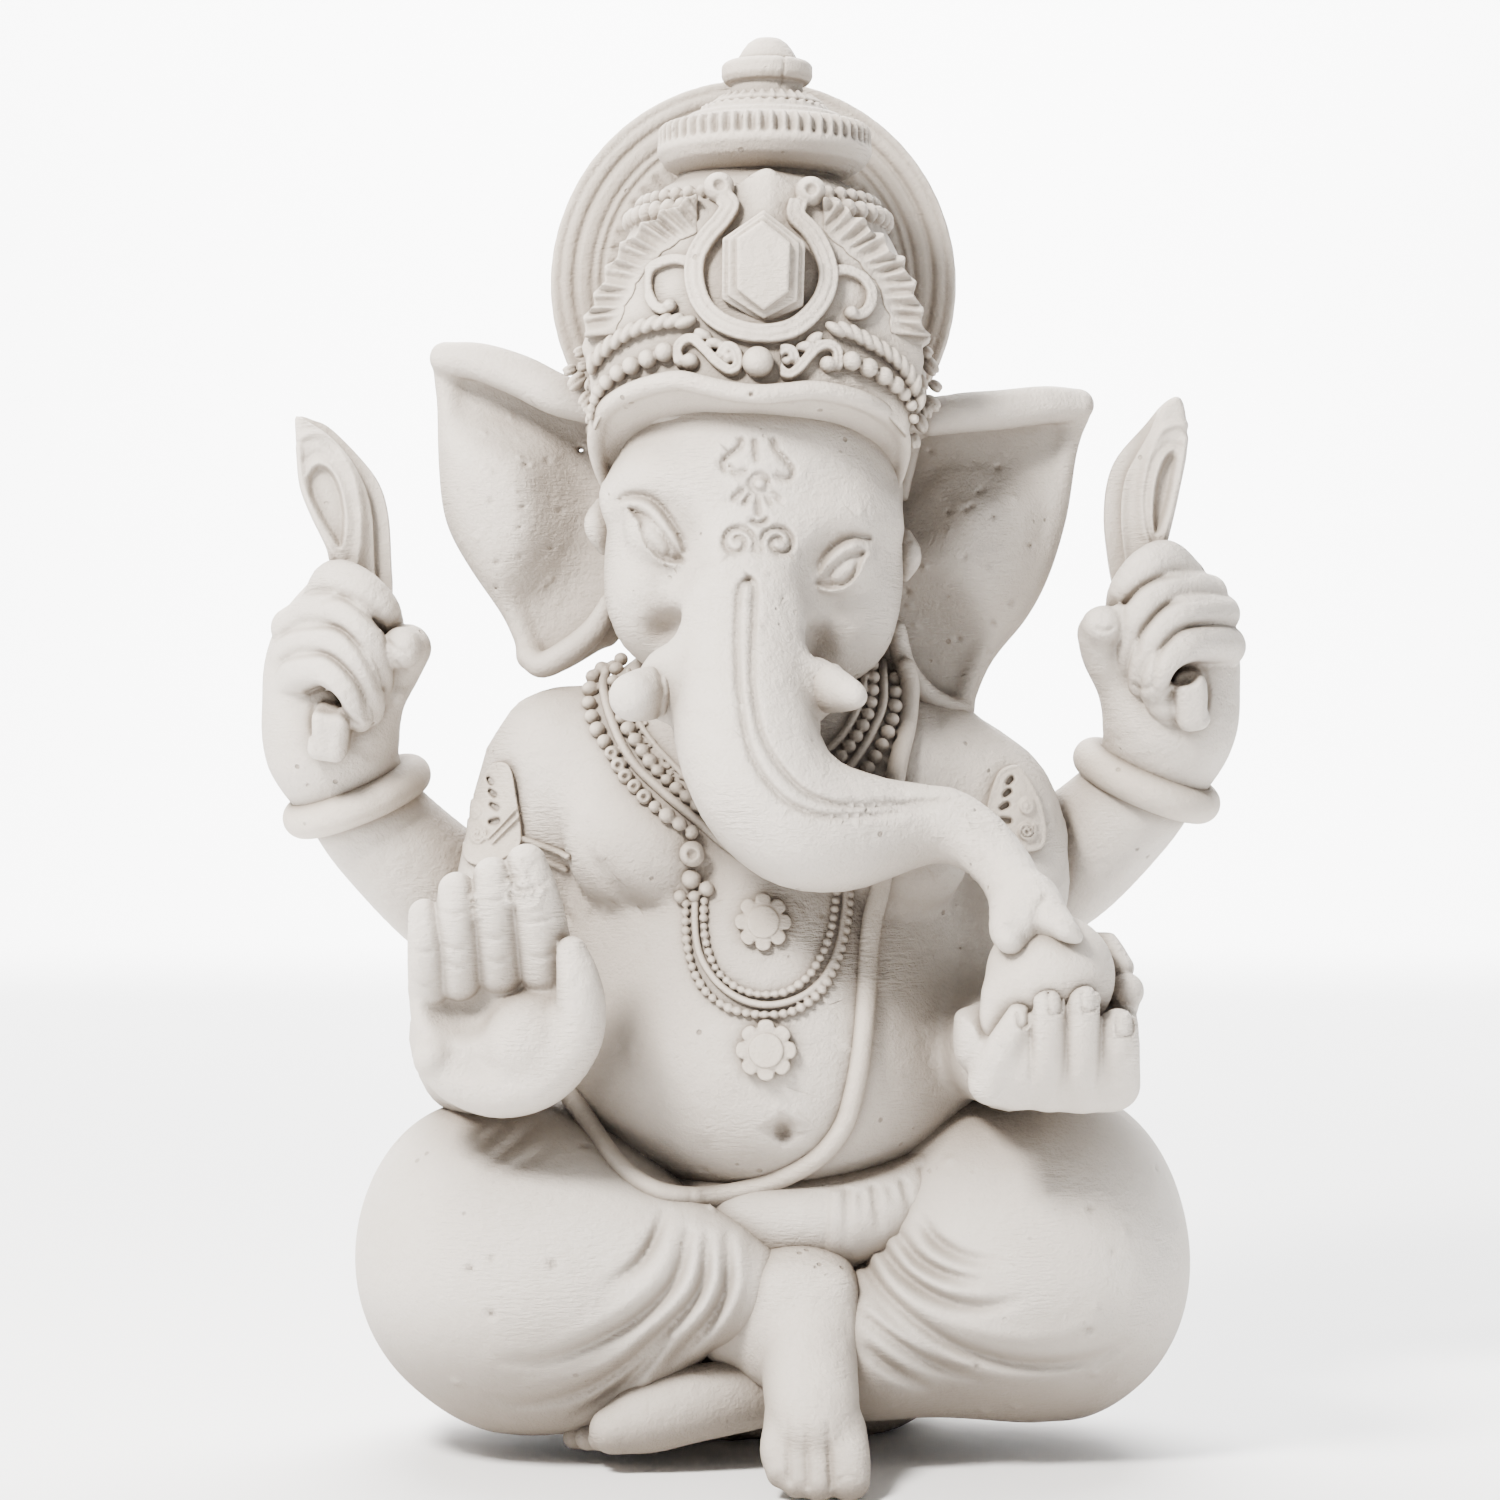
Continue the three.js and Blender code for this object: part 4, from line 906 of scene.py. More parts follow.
def rear_hand_right():
    clay = Clay((-105, -21, 122), (-66, 20, 182), 0.4)
    clay.add(limb(REAR_ARMS["right"][:3], 6))
    clay.add(limb([(-88.5, 4, 137, 11.2), (-90.4, 3, 143.6, 10.8), (-90.6, 3, 151.7, 10.6),
                   (-88.8, 3, 158.1, 10), (-86.4, 3, 164.1, 8)]), 6)
    clay.add(ball((-84.5, -1, 154), (10.5, 8, 12)), 5)
    # the thumb lies across on the far side, its tip towards the viewer
    clay.add(limb([(-83.3, 1, 138.4, 9), (-77.9, -1, 146, 5.4), (-74.1, -3, 152.3, 5),
                   (-71.6, -6, 156.2, 4.8)]), 4)
    clay.add(ball((-72.3, -10.5, 156.1), (3.9, 3.4, 4.2)), 1.2)
    clay.add(ball((-74.5, -5, 147.1), (2.8, 2.6, 2.6)), 1.2)
    # the four fingers, curled round the handle
    finger(clay, [(-88.8, -3, 165.9, 4), (-85.8, -7, 169.5, 4.2), (-80.9, -10, 167.9, 4.1),
                  (-76.8, -9, 164.2, 3.8), (-75.5, -5, 161.4, 3.1)])
    finger(clay, [(-95.1, -1, 160.4, 4.2), (-89.5, -7, 163.1, 4), (-83.4, -11.5, 162.8, 3.9),
                  (-79.4, -12.5, 158.4, 3.7), (-77.1, -10, 152.2, 3.2), (-77.4, -6, 146.9, 2.8)])
    finger(clay, [(-95.3, -2, 154.9, 4.2), (-90.6, -8, 157.4, 4), (-84.9, -12.5, 157, 3.9),
                  (-80.7, -13.5, 152.7, 3.6), (-78.6, -11, 146.4, 3.1), (-78.5, -8, 143.5, 2.6)])
    finger(clay, [(-94.9, -2, 148.8, 4.4), (-91.8, -8, 151.4, 4.2), (-86.8, -13, 151.9, 3.9),
                  (-83.1, -14.5, 148, 3.6), (-80.8, -12.5, 143.5, 3), (-80.5, -10, 142.1, 2.6)])
    # the end of the handle under the little finger
    clay.add(block((-86.2, -9.5, 139.9), (3.9, 5.8, 5.2), 2.2, (18, 8, 0)), 0.3)
    clay.cut(ball((-86.6, -15, 145.2), (2.4, 3.0, 1.7), (0, 20, 0)), 1.2)
    seams = [
        [(-88.8, 164.4, 0.3), (-84.1, 165.9, 1), (-79.6, 163.1, 1), (-76.3, 160.2, 1)],
        [(-96.5, 158.9, 0.2), (-91.1, 160, 0.8), (-84.5, 159.9, 1), (-80.6, 156.5, 1), (-77.7, 151.5, 1),
         (-76.3, 147.8, 0.6)],
        [(-96.1, 153.6, 0.2), (-91.4, 154.5, 0.7), (-86.6, 154.6, 1), (-82.6, 151.6, 1), (-79.6, 147, 1),
         (-78.7, 142.5, 0.7)],
        [(-90.9, 147.4, 0.8), (-87.6, 148.5, 1), (-84.8, 146.5, 1), (-82.5, 142.6, 1),
         (-80.6, 141.1, 0.6)],
        [(-89.9, 144.8, 0.3), (-89.9, 140.3, 1), (-88.5, 136, 0.6)],
    ]
    clay.curves(seams, 0.55, 0.7, nearer_than=-3)
    clay.draw([smooth_line([(-74.7, 157.4), (-72.8, 155.7), (-71, 155.3)]),
               [(-73.2, 153.3), (-71.6, 151.3)]], 0.35, 0.4)
    clay.cast("rear_hand_right", SKIN)


def rear_hand_left():
    clay = Clay((60, -21, 124), (100, 20, 184), 0.4)
    clay.add(limb(REAR_ARMS["left"][:3], 6))
    clay.add(limb([(81.2, 4, 140.4, 11.2), (83.5, 3, 146, 10.8), (84.1, 3, 154.1, 10.6),
                   (82.7, 3, 161.1, 10), (80.7, 3, 166.5, 8)]), 6)
    clay.add(ball((77.3, -1, 158), (9.5, 8, 12)), 5)
    clay.add(limb([(76.5, 1, 141.6, 8.6), (71.1, -1, 149.2, 5.6), (67.6, -4, 155.1, 5.2),
                   (66, -7, 159, 4.8)]), 4)
    clay.add(ball((66.2, -10.5, 160.6), (4.5, 4.2, 3.9)), 1.2)
    clay.add(ball((69.1, -11, 161.2), (2.6, 2.4, 3.8), (0, 12, 0)), 0.5)
    finger(clay, [(83.3, -3, 170.3, 3.9), (78.8, -7, 173.6, 4), (74.4, -9.5, 171.7, 4),
                  (71, -8, 167.4, 3.7), (70.1, -3, 164.1, 3)])
    finger(clay, [(87.9, -1, 167.2, 3.9), (82.8, -7, 167.9, 3.8), (77.2, -11, 166.9, 3.8),
                  (73.2, -12, 162.6, 3.7), (71.7, -9, 156.1, 3.3), (71.9, -5, 151.5, 3)])
    finger(clay, [(90.3, -1, 163.2, 4), (85.4, -8, 163.3, 3.8), (80.2, -12.5, 162.3, 3.8),
                  (75.8, -13.5, 157.6, 3.6), (74.2, -11, 152.3, 3.2), (74, -8, 149.1, 2.8)])
    finger(clay, [(90.9, -2, 156.7, 4.4), (86.6, -8, 157.4, 4.2), (81.5, -13, 156.6, 4),
                  (77.6, -14.5, 152.5, 3.7), (76.3, -12.5, 148.8, 3.2), (76.1, -10, 147.2, 2.7)])
    clay.add(block((83.1, -9.5, 146.3), (3.4, 5.8, 5.8), 2.6, (18, -8, 0)), 0.3)
    clay.add(ball((78.2, -9, 145.1), (3.4, 4, 3.4)), 1.2)
    clay.cut(ball((81.9, -15, 150.5), (2.4, 3.0, 1.7), (0, -20, 0)), 1.2)
    seams = [
        [(84.4, 170.1, 0.3), (78.2, 170, 1), (73.9, 168.4, 1), (70.4, 165.1, 1)],
        [(87.4, 165.5, 0.2), (80, 165, 0.9), (76.5, 163.2, 1), (73.3, 159.1, 1), (72.2, 154.6, 0.8)],
        [(90.4, 160.7, 0.2), (84.4, 160.5, 0.8), (79.8, 159.3, 1), (76.3, 154.6, 1), (75.3, 148.9, 0.9)],
        [(86.1, 152.1, 0.6), (82.5, 152.6, 1), (79.9, 151, 1), (78.1, 148.1, 1), (75.9, 146, 0.6)],
        [(86.3, 151.3, 0.4), (86.9, 146.8, 1), (85.9, 141.9, 0.5)],
    ]
    clay.curves(seams, 0.55, 0.7, nearer_than=-3)
    clay.draw([smooth_line([(64.3, 159.9), (65.7, 159.3), (67.5, 159.9)]), [(72, 149.1), (74.1, 147.8)],
               [(74.5, 148.4), (76.3, 147.4)]], 0.32, 0.45)
    clay.cast("rear_hand_left", SKIN)


def emblems():
    """The curved blades held up by the rear hands: a rim, a band inside it and a hollow drop."""
    shapes = {
        "right": dict(
            leaf=[(-93.8, 202.8), (-91, 202), (-87.6, 200.4), (-81.8, 194.6), (-78, 189.4),
                  (-76.2, 183.2), (-75.6, 174), (-75.6, 166), (-79.2, 162.4), (-85.6, 166),
                  (-87.4, 173.6), (-88, 177), (-91, 183), (-93, 188.6), (-93.8, 196), (-94.2, 201)],
            away=[(-92.6, 203.6), (-89.2, 200), (-83.6, 193.6), (-81.4, 188), (-80.6, 182), (-80.8, 174),
                  (-81.2, 166), (-71.6, 166), (-71.6, 204)],
            rim=[(-92.8, 198), (-90.8, 198.8), (-88, 198.4), (-84.8, 195.4), (-82.2, 190.4), (-81, 184),
                 (-81, 177), (-82, 171)],
            step=[(-92.2, 193.6), (-89.2, 195), (-85.6, 192.4), (-83.6, 188), (-82.4, 181), (-83.2, 174)],
            drop=[(-91.4, 190.4), (-89.6, 192.6), (-87, 191.6), (-85, 187.6), (-84.2, 182),
                  (-84.8, 176.4), (-86.4, 178), (-89.6, 183.6), (-91.2, 187.2)],
            edge=[(-93.2, 196), (-92.6, 188.8), (-90.2, 182.6), (-87.2, 176.4), (-84.6, 172.8)],
            low=(-99, -9, 158), high=(-72, 9, 208)),
        "left": dict(
            leaf=[(82, 206.2), (79.2, 205.4), (75.6, 201.2), (70.2, 195), (68, 189.4), (67.4, 182),
                  (68.2, 174), (69.2, 169), (70.8, 166), (76.8, 168), (79, 175.6), (80, 179.6),
                  (81.4, 187.2), (83.2, 196), (83.2, 202.4)],
            away=[(76.4, 205.2), (76.4, 200.4), (75.2, 195), (74.4, 189), (74, 182), (74.8, 174),
                  (74.4, 166), (64.4, 166), (64.4, 205.2)],
            rim=[(83, 200.6), (80.4, 200.6), (77.4, 198.6), (75.4, 193.2), (74.4, 187.2), (74.6, 181),
                 (75.8, 176)],
            step=[(82.4, 196), (79.6, 196.8), (76.6, 193.2), (75.2, 187.2), (75.2, 182), (76.6, 177)],
            drop=[(81.2, 194.4), (79.6, 195), (77.8, 191.6), (76.8, 186.8), (76.6, 182), (77.2, 178.8),
                  (78.6, 182), (80, 187.2)],
            edge=[(83, 198), (82.4, 193), (81, 186), (79.2, 180), (77.8, 176.4)],
            low=(62, -9, 158), high=(88, 9, 212)),
    }
    for side, shape in shapes.items():
        clay = Clay(shape["low"], shape["high"], 0.3)
        clay.add(plate(Outline(shape["leaf"], 4), (0, 0, 0), 4.6, 1.4))
        clay.stamp(Outline(shape["away"]), 3.0, 5.0)
        clay.curves([shape["rim"], shape["edge"]], 0.75, -0.8)
        clay.stamp(Outline(shape["drop"], 4), 1.5, 1.3)
        clay.curves([shape["step"]], 0.8, 0.45)
        clay.curves([shape["drop"] + shape["drop"][:1]], 0.5, -0.6)
        clay.cast(f"emblem_{side}", HELD)


# ------------------------------------------------------------------------- the front hands
def blessing_hand():
    clay = Clay((-76, -65, 56), (-30, -34, 122), 0.4)
    palm = Outline([(-67, 94.1), (-67, 85.8), (-65.7, 80.2), (-62.9, 75.3), (-58.1, 71.8), (-49.1, 69.7),
                    (-40.6, 71.8), (-35, 77.6), (-32.9, 85.8), (-33.5, 92.3), (-36.1, 96.5),
                    (-41.5, 98.8), (-51.7, 99.9), (-62.9, 97.7)], 4)
    clay.add(plate(palm, (0, -46.5, 0), 5.6, 5.2))
    clay.add(limb([(-50.5, -42, 77.2, 8), (-51.3, -43, 81.5, 8.5), (-52.1, -45, 89.1, 7)]), 5)
    # the cupped palm, with the thumb and the heel of the hand rolling round it
    clay.cut(ball((-56.8, -60, 89.8), (10.5, 13.0, 9.5)), 2)
    clay.cut(ball((-47.7, -60, 93.1), (9, 12.0, 6.5)), 2)
    clay.add(limb([(-36.5, -56.5, 98.8, 2.9), (-35.4, -56, 94.3, 3.9), (-35, -54, 88.3, 4.8),
                   (-36.9, -52, 81.8, 5.6), (-42.5, -49.5, 76, 6.4), (-50, -48, 73.7, 6.4),
                   (-57.2, -47.5, 75.1, 5.6), (-61.8, -48, 78.5, 4.6)]), 1.2)
    clay.add(ball((-44.8, -50.5, 82.4), (9.0, 7.4, 7.8), (0, -35, 0)), 2.2)
    clay.add(ball((-62.5, -50, 79.4), (3.2, 4.2, 3.6), (0, 25, 0)), 1.5)
    # the fingers stand side by side, bent a little forward
    finger(clay, [(-63.7, -48, 91.6, 3.7), (-63.7, -51.5, 96.6, 3.5), (-63.7, -53.5, 101.7, 3.3),
                  (-63.8, -54, 105.5, 3)], 0.6)
    finger(clay, [(-57.9, -48, 93.4, 4.2), (-57.7, -52, 99.8, 3.9), (-57.9, -54.5, 105.7, 3.8),
                  (-57.8, -55, 110.1, 3.4)], 0.6)
    finger(clay, [(-50.2, -48, 94.9, 4.4), (-50.5, -52, 101.5, 4.2), (-50.8, -55, 107.9, 4.1),
                  (-51.1, -55.5, 112.7, 3.6)], 0.6)
    finger(clay, [(-41.6, -48.5, 95.7, 5.2), (-42.2, -51.5, 101.6, 5.1), (-43.4, -54.5, 108.6, 4.7),
                  (-44.9, -55, 114.9, 3.8)], 0.6)
    creases = [
        [(-66.2, 99.2), (-63.7, 98.7), (-61.2, 99.4)], [(-66.2, 93.1), (-63.5, 92.4), (-60.9, 93.8)],
        [(-61, 106.4), (-57.9, 105.8), (-55, 106.6)], [(-60.6, 100), (-57.5, 99.3), (-54.7, 100.3)],
        [(-60.3, 96.8), (-57.4, 95.9), (-54.4, 97.2)],
        [(-53.5, 108.7), (-50.6, 108.2), (-48, 108.9)], [(-53.2, 102), (-50.4, 101.3), (-47.5, 102.4)],
        [(-52.9, 97.7), (-50.1, 96.8), (-47.2, 98.3)],
        [(-46.8, 110.2), (-43.7, 110.4), (-40.8, 111.6)],
        [(-45.8, 104.2), (-42.1, 104.6), (-38.1, 106.3)], [(-45.7, 98.1), (-41.8, 97.7), (-38.9, 99)],
    ]
    creases = [[(*line[0], 0.3), (*line[1], 1), (*line[2], 0.3)] for line in creases]
    clay.curves(creases, 0.45, 0.4, nearer_than=-46)
    # rough cast skin down the index finger and in the finger gaps
    rng = np.random.default_rng(11)
    for start, end, spread, count in (((-46.9, -55, 116), (-42.9, -55, 106.4), 1.5, 150),
                                      ((-48, -55, 112), (-47.3, -55, 107.4), 0.5, 40),
                                      ((-54.3, -55, 110.1), (-53.9, -55, 104.6), 0.5, 45)):
        for _ in range(count):
            at = np.array(start) + rng.random() ** 0.8 * (np.array(end) - np.array(start))
            away, size = rng.normal(0, spread), rng.uniform(0.22, 0.42)
            spot = (at[0] + away, at[2] + 0.35 * away)
            clay.draw([[(spot[0] - 0.05, spot[1]), (spot[0] + 0.05, spot[1])]], size, -0.2,
                      nearer_than=-46)
    clay.cast("blessing_hand", SKIN)


def offering_hand():
    clay = Clay((30, -73, 58), (74, -32, 102), 0.4)
    clay.add(limb([(42.6, -36, 80.5, 8.2), (44.6, -46, 78.7, 8.2)]), 0)
    hand = Outline([(34.8, 87.1), (35.2, 83.2), (37.1, 77.8), (40.4, 73.4), (44.8, 70.6), (51.7, 69.3),
                    (59.7, 68.9), (64.8, 70.6), (67.4, 74.9), (68.2, 80.4), (67.8, 87.1), (63.7, 88.9),
                    (54.1, 84.1), (43, 83.4), (38.5, 87.5)], 4)
    clay.add(plate(hand, (0, -53, 0), 9.5, 8.6), 3)
    clay.add(ball((39.2, -52, 82.9), (3.8, 6.5, 6.0), (0, 30, 0)), 4)
    finger(clay, [(40.9, -57, 74.9, 4.4), (42.5, -61, 80, 3.9), (44.1, -64, 84.2, 3.2),
                  (45.5, -65, 87.6, 2.5)], 1.6)
    finger(clay, [(51.2, -57, 74.1, 4.6), (50.8, -62, 79.3, 4.4), (50.6, -65, 85.1, 4),
                  (50.7, -66.4, 89.9, 3.3)], 1.6)
    finger(clay, [(57.5, -57, 74.1, 4.6), (57, -62, 79.3, 4.4), (56.8, -65, 85.1, 4),
                  (56.8, -66.4, 90.1, 3.3)], 1.6)
    finger(clay, [(63.4, -56, 74.4, 5), (63.4, -60, 78.8, 4.5), (63.5, -63, 82.7, 4),
                  (63.4, -64, 85.3, 3.6)], 1.6)
    clay.add(limb([(45.4, -56, 74.8, 5.2), (46.6, -60, 79.2, 4.6), (47.5, -62, 83, 3.4)]), 1.6)
    clay.cut(ball((51.8, -56, 94.1), 12.1), 0.5)
    # the thumb comes round the far side of the sweet
    clay.add(limb([(58.7, -47, 104, 2.2), (62.7, -48, 99.8, 2.5), (65.2, -51, 95.5, 2.6)]), 0.4)
    clay.add(ball((66, -54, 91.4), (3.3, 3.2, 3.4)), 0.8)
    clay.add(ball((65.6, -53, 88.6), (2.8, 2.8, 2.6)), 0.8)
    # nails, each a shallow bed inside a fine ridge
    for x0, x1, z0, z1 in ((44.6, 47.2, 85.3, 88.6), (49.9, 53.2, 87.9, 92.3), (55.9, 59.4, 88.4, 92.6),
                           (62.5, 66.3, 83.7, 88.1)):
        mid = (x0 + x1) / 2
        rim = [(x0, z1 - 0.7), (x0, z0 + 0.9), (x0 + 0.7, z0), (x1 - 0.7, z0), (x1, z0 + 0.9),
               (x1, z1 - 0.7)]
        clay.draw([smooth_line([(x + (0.35 if x < mid else -0.35), z + 0.35) for x, z in rim])], 0.34,
                  0.5, nearer_than=-57)
        clay.curves([rim], 0.4, -0.35, nearer_than=-57)
    gaps = [
        [(47.6, 74.2, 0.1), (47.6, 79.7, 1), (47.4, 89.7, 1)],
        [(53.6, 74.6, 0.1), (53.8, 80.6, 1), (53.6, 92, 1)],
        [(60, 74.6, 0.1), (60.1, 80.6, 1), (60, 89.7, 1)],
    ]
    clay.curves(gaps, 0.5, 0.45, nearer_than=-55)
    clay.cast("offering_hand", SKIN)


def modak():
    clay = Clay((36, -70, 80), (66, -42, 108), 0.45)
    clay.add(ball((51.8, -56, 94.3), (11.9, 11.8, 11.7)))
    clay.add(limb([(42.6, -59, 90.1, 3.6), (41.7, -59, 87.3, 3.2), (41.3, -59, 85, 2.4),
                   (41.7, -59, 83.9, 1.5)]), 3.5)
    clay.piece("modak_plaster", HELD, ["modak_sweet"])


# ------------------------------------------------------------------------ legs, cloth, feet
def leg_right():
    clay = Clay((-84, -62, -1), (4, 46, 74), 0.75)
    clay.add(ball((-46, -10, 35), (34, 42, 32)))
    clay.add(ball((-57.8, -22, 42), (20, 24, 25)), 8)
    clay.add(limb([(-48.2, -20, 34.9, 26), (-34.2, -28, 36, 22), (-22.5, -33, 35.8, 17.5),
                   (-13.8, -37, 35.4, 13.5), (-7.2, -38, 34.1, 10.5)]), 8)
    clay.add(limb([(-47.9, -24, 21.9, 15), (-34.2, -28, 18.7, 11.5), (-24.4, -33, 21.5, 9)]), 8)
    folds = [
        [(-19.8, 48.8, 0.3), (-21.7, 44, 1), (-24.8, 40, 0.9), (-30.7, 35.9, 0.1)],
        [(-15, 45.4, 0.4), (-17.2, 37.8, 1), (-23.5, 30.9, 1), (-31.5, 26.1, 0.9), (-41.2, 22.2, 0.5),
         (-49.8, 21.8, 0.1)],
        [(-11.6, 44.6, 0.4), (-12.2, 37.7, 1), (-15, 32.6, 1), (-21.7, 25.9, 1), (-26.9, 20.7, 1),
         (-35.4, 15.3, 0.8), (-45.7, 12.7, 0.5), (-53.3, 14.2, 0.1)],
        [(-7.9, 44, 0.4), (-7.9, 36.8, 1), (-10.5, 30.6, 1), (-15.6, 24.5, 0.6), (-18.8, 20.7, 0.2)],
        [(-18.8, 26.7, 0.2), (-23.7, 20.2, 0.9), (-29.4, 14.9, 0.9), (-37.1, 9.6, 0.2)],
    ]
    clay.curves(folds, 1.15, 1.9, nearer_than=-12)
    ridges = [
        [(-17.4, 47.6, 0.3), (-19.2, 42.3, 1), (-22.9, 36.3, 1), (-29.4, 31.2, 0.7), (-38.9, 26.6, 0.1)],
        [(-13.3, 45.8, 0.4), (-14.6, 37.9, 1), (-18.7, 31.3, 1), (-25.8, 24.6, 1), (-34.4, 19.6, 0.7),
         (-44.8, 17, 0.3)],
        [(-9.8, 45.2, 0.4), (-9.9, 37.5, 1), (-12.4, 31.5, 1), (-18, 24.4, 0.8), (-24.1, 18.3, 0.4)],
        [(-5.8, 44, 0.6), (-5.8, 35.7, 1), (-8.6, 29.1, 1), (-13.4, 22.8, 0.6)],
    ]
    clay.curves(ridges, 1.5, -0.9, nearer_than=-12)
    dents = [
        [(-53.6, 56.6, 0.1), (-50.2, 59.8, 1), (-47, 62.1, 0.8), (-44.3, 64.8, 0.1)],
        [(-56.6, 60, 0.1), (-53, 62.1, 0.8), (-50, 64.9, 0.1)],
        [(-50.8, 55.5, 0.2), (-45.9, 58.2, 0.6), (-42.1, 60.4, 0.1)],
    ]
    clay.curves(dents, 1.1, 1.0, nearer_than=-12)
    clay.floor()
    FRONTS["leg_right"] = Front(clay)
    blemish(clay, FRONTS["leg_right"], 41, 16, (-74, 8), (-8, 62), (0.55, 0.95))
    clay.piece("leg_right_cloth", CLOTH, ["leg_right"])


def leg_left():
    clay = Clay((2, -60, -1), (85, 46, 74), 0.75)
    clay.add(ball((47.5, -8, 38), (34.2, 40, 31.6)))
    clay.add(ball((59.5, -22, 42.9), (19, 24, 26)), 8)
    clay.add(limb([(54.8, -20, 31, 24), (41.8, -27, 30.1, 20), (30, -32, 27.1, 15.5),
                   (21.3, -36, 23.9, 13), (14.6, -37, 21.2, 10)]), 8)
    clay.add(limb([(56.8, -20, 20.3, 12), (40.9, -26, 16.9, 8.5), (29.1, -30, 15.6, 7.2),
                   (19.5, -32, 14.6, 6.6)]), 5)
    folds = [
        [(29, 47.1, 0.3), (31.6, 43.5, 1), (36.8, 41, 0.8), (44.1, 40, 0.1)],
        [(24.7, 44.1, 0.4), (28.1, 40.1, 1), (33.6, 37.6, 0.9), (40.9, 36.8, 0.1)],
        [(21.1, 41.8, 0.4), (25.6, 37, 1), (32.5, 33.3, 1), (40.1, 32.2, 0.8), (47.6, 33.6, 0.1)],
        [(17.7, 39.6, 0.4), (21.5, 34.2, 1), (29.2, 27.8, 1), (36.9, 23.7, 1), (48.1, 20.9, 0.9),
         (59.5, 21.3, 0.6), (68.8, 24.5, 0.1)],
        [(18.4, 29.3, 0.5), (24.9, 24.6, 1), (31.5, 20.7, 0.9), (39, 18.1, 0.2)],
        [(18.5, 23.9, 0.6), (22.8, 20.4, 1), (29.1, 16.6, 0.3)],
        [(18.4, 34.6, 0.4), (22.8, 30, 0.9), (29.4, 24.6, 0.6), (34.1, 22, 0.1)],
    ]
    clay.curves(folds, 1.15, 1.8, nearer_than=-12)
    ridges = [
        [(26.4, 45.2, 0.3), (30.3, 41.3, 1), (36.2, 38.9, 0.7), (43.2, 38.5, 0.1)],
        [(22.8, 43, 0.4), (27.1, 38.3, 1), (33.6, 35.4, 0.9), (41.3, 34.6, 0.1)],
        [(19.2, 40.9, 0.4), (23.4, 35.6, 1), (31.2, 30.4, 1), (40.5, 27.4, 0.8), (50.9, 26.5, 0.4),
         (62.5, 29.6, 0.1)],
        [(18.8, 31.8, 0.4), (25.6, 26.8, 1), (34.1, 22, 1), (44.6, 18.3, 0.6), (55.3, 17.4, 0.2)],
    ]
    clay.curves(ridges, 1.5, -0.8, nearer_than=-12)
    clay.floor()
    blemish(clay, Front(clay), 42, 14, (10, 8), (76, 62), (0.55, 0.95))
    clay.piece("leg_left_cloth", CLOTH, ["leg_left"])


def waist():
    clay = Clay((-22, -46, 24), (52, 10, 66), 0.5)
    clay.add(limb([(-17, -24, 46.7, 7.5), (-6.3, -29, 45.4, 8.2), (6.1, -31, 45.3, 8.6),
                   (19.6, -30, 47.4, 8.4), (30.3, -26, 50.8, 8.2), (38.2, -22, 55.5, 7)]))
    clay.add(limb([(-13.1, -24, 41.3, 7), (-0.6, -26, 40.6, 8), (12, -26, 40.6, 8)]), 5)
    clay.stamp(Outline([(11.6, 52.6), (11, 39), (42.1, 39), (42.1, 65.9), (25, 56.4)]), -0.7, 0.8,
               nearer_than=-16)
    pleats = [
        [(14.8, 52.3, 1), (14.8, 46.6, 0.5), (14.8, 42.4, 0.1)],
        [(19.9, 52.6, 1), (20.5, 48.5, 0.8), (21.3, 44.4, 0.1)],
        [(25.6, 53.5, 1), (26.6, 49.7, 0.5), (27.4, 46.3, 0.1)], [(29.3, 55.8, 0.8), (30.8, 52, 0.1)],
        [(17.4, 51.5, 0.7), (17.8, 47.7, 0.1)], [(23.1, 52.6, 0.6), (23.9, 49.5, 0.1)],
    ]
    clay.curves(pleats, 0.8, 0.9, nearer_than=-16)
    clay.add(ball((31.3, -33, 55.5), (1.3, 1.3, 1.5)), 0.5)
    clay.cast("waist_cloth", CLOTH)


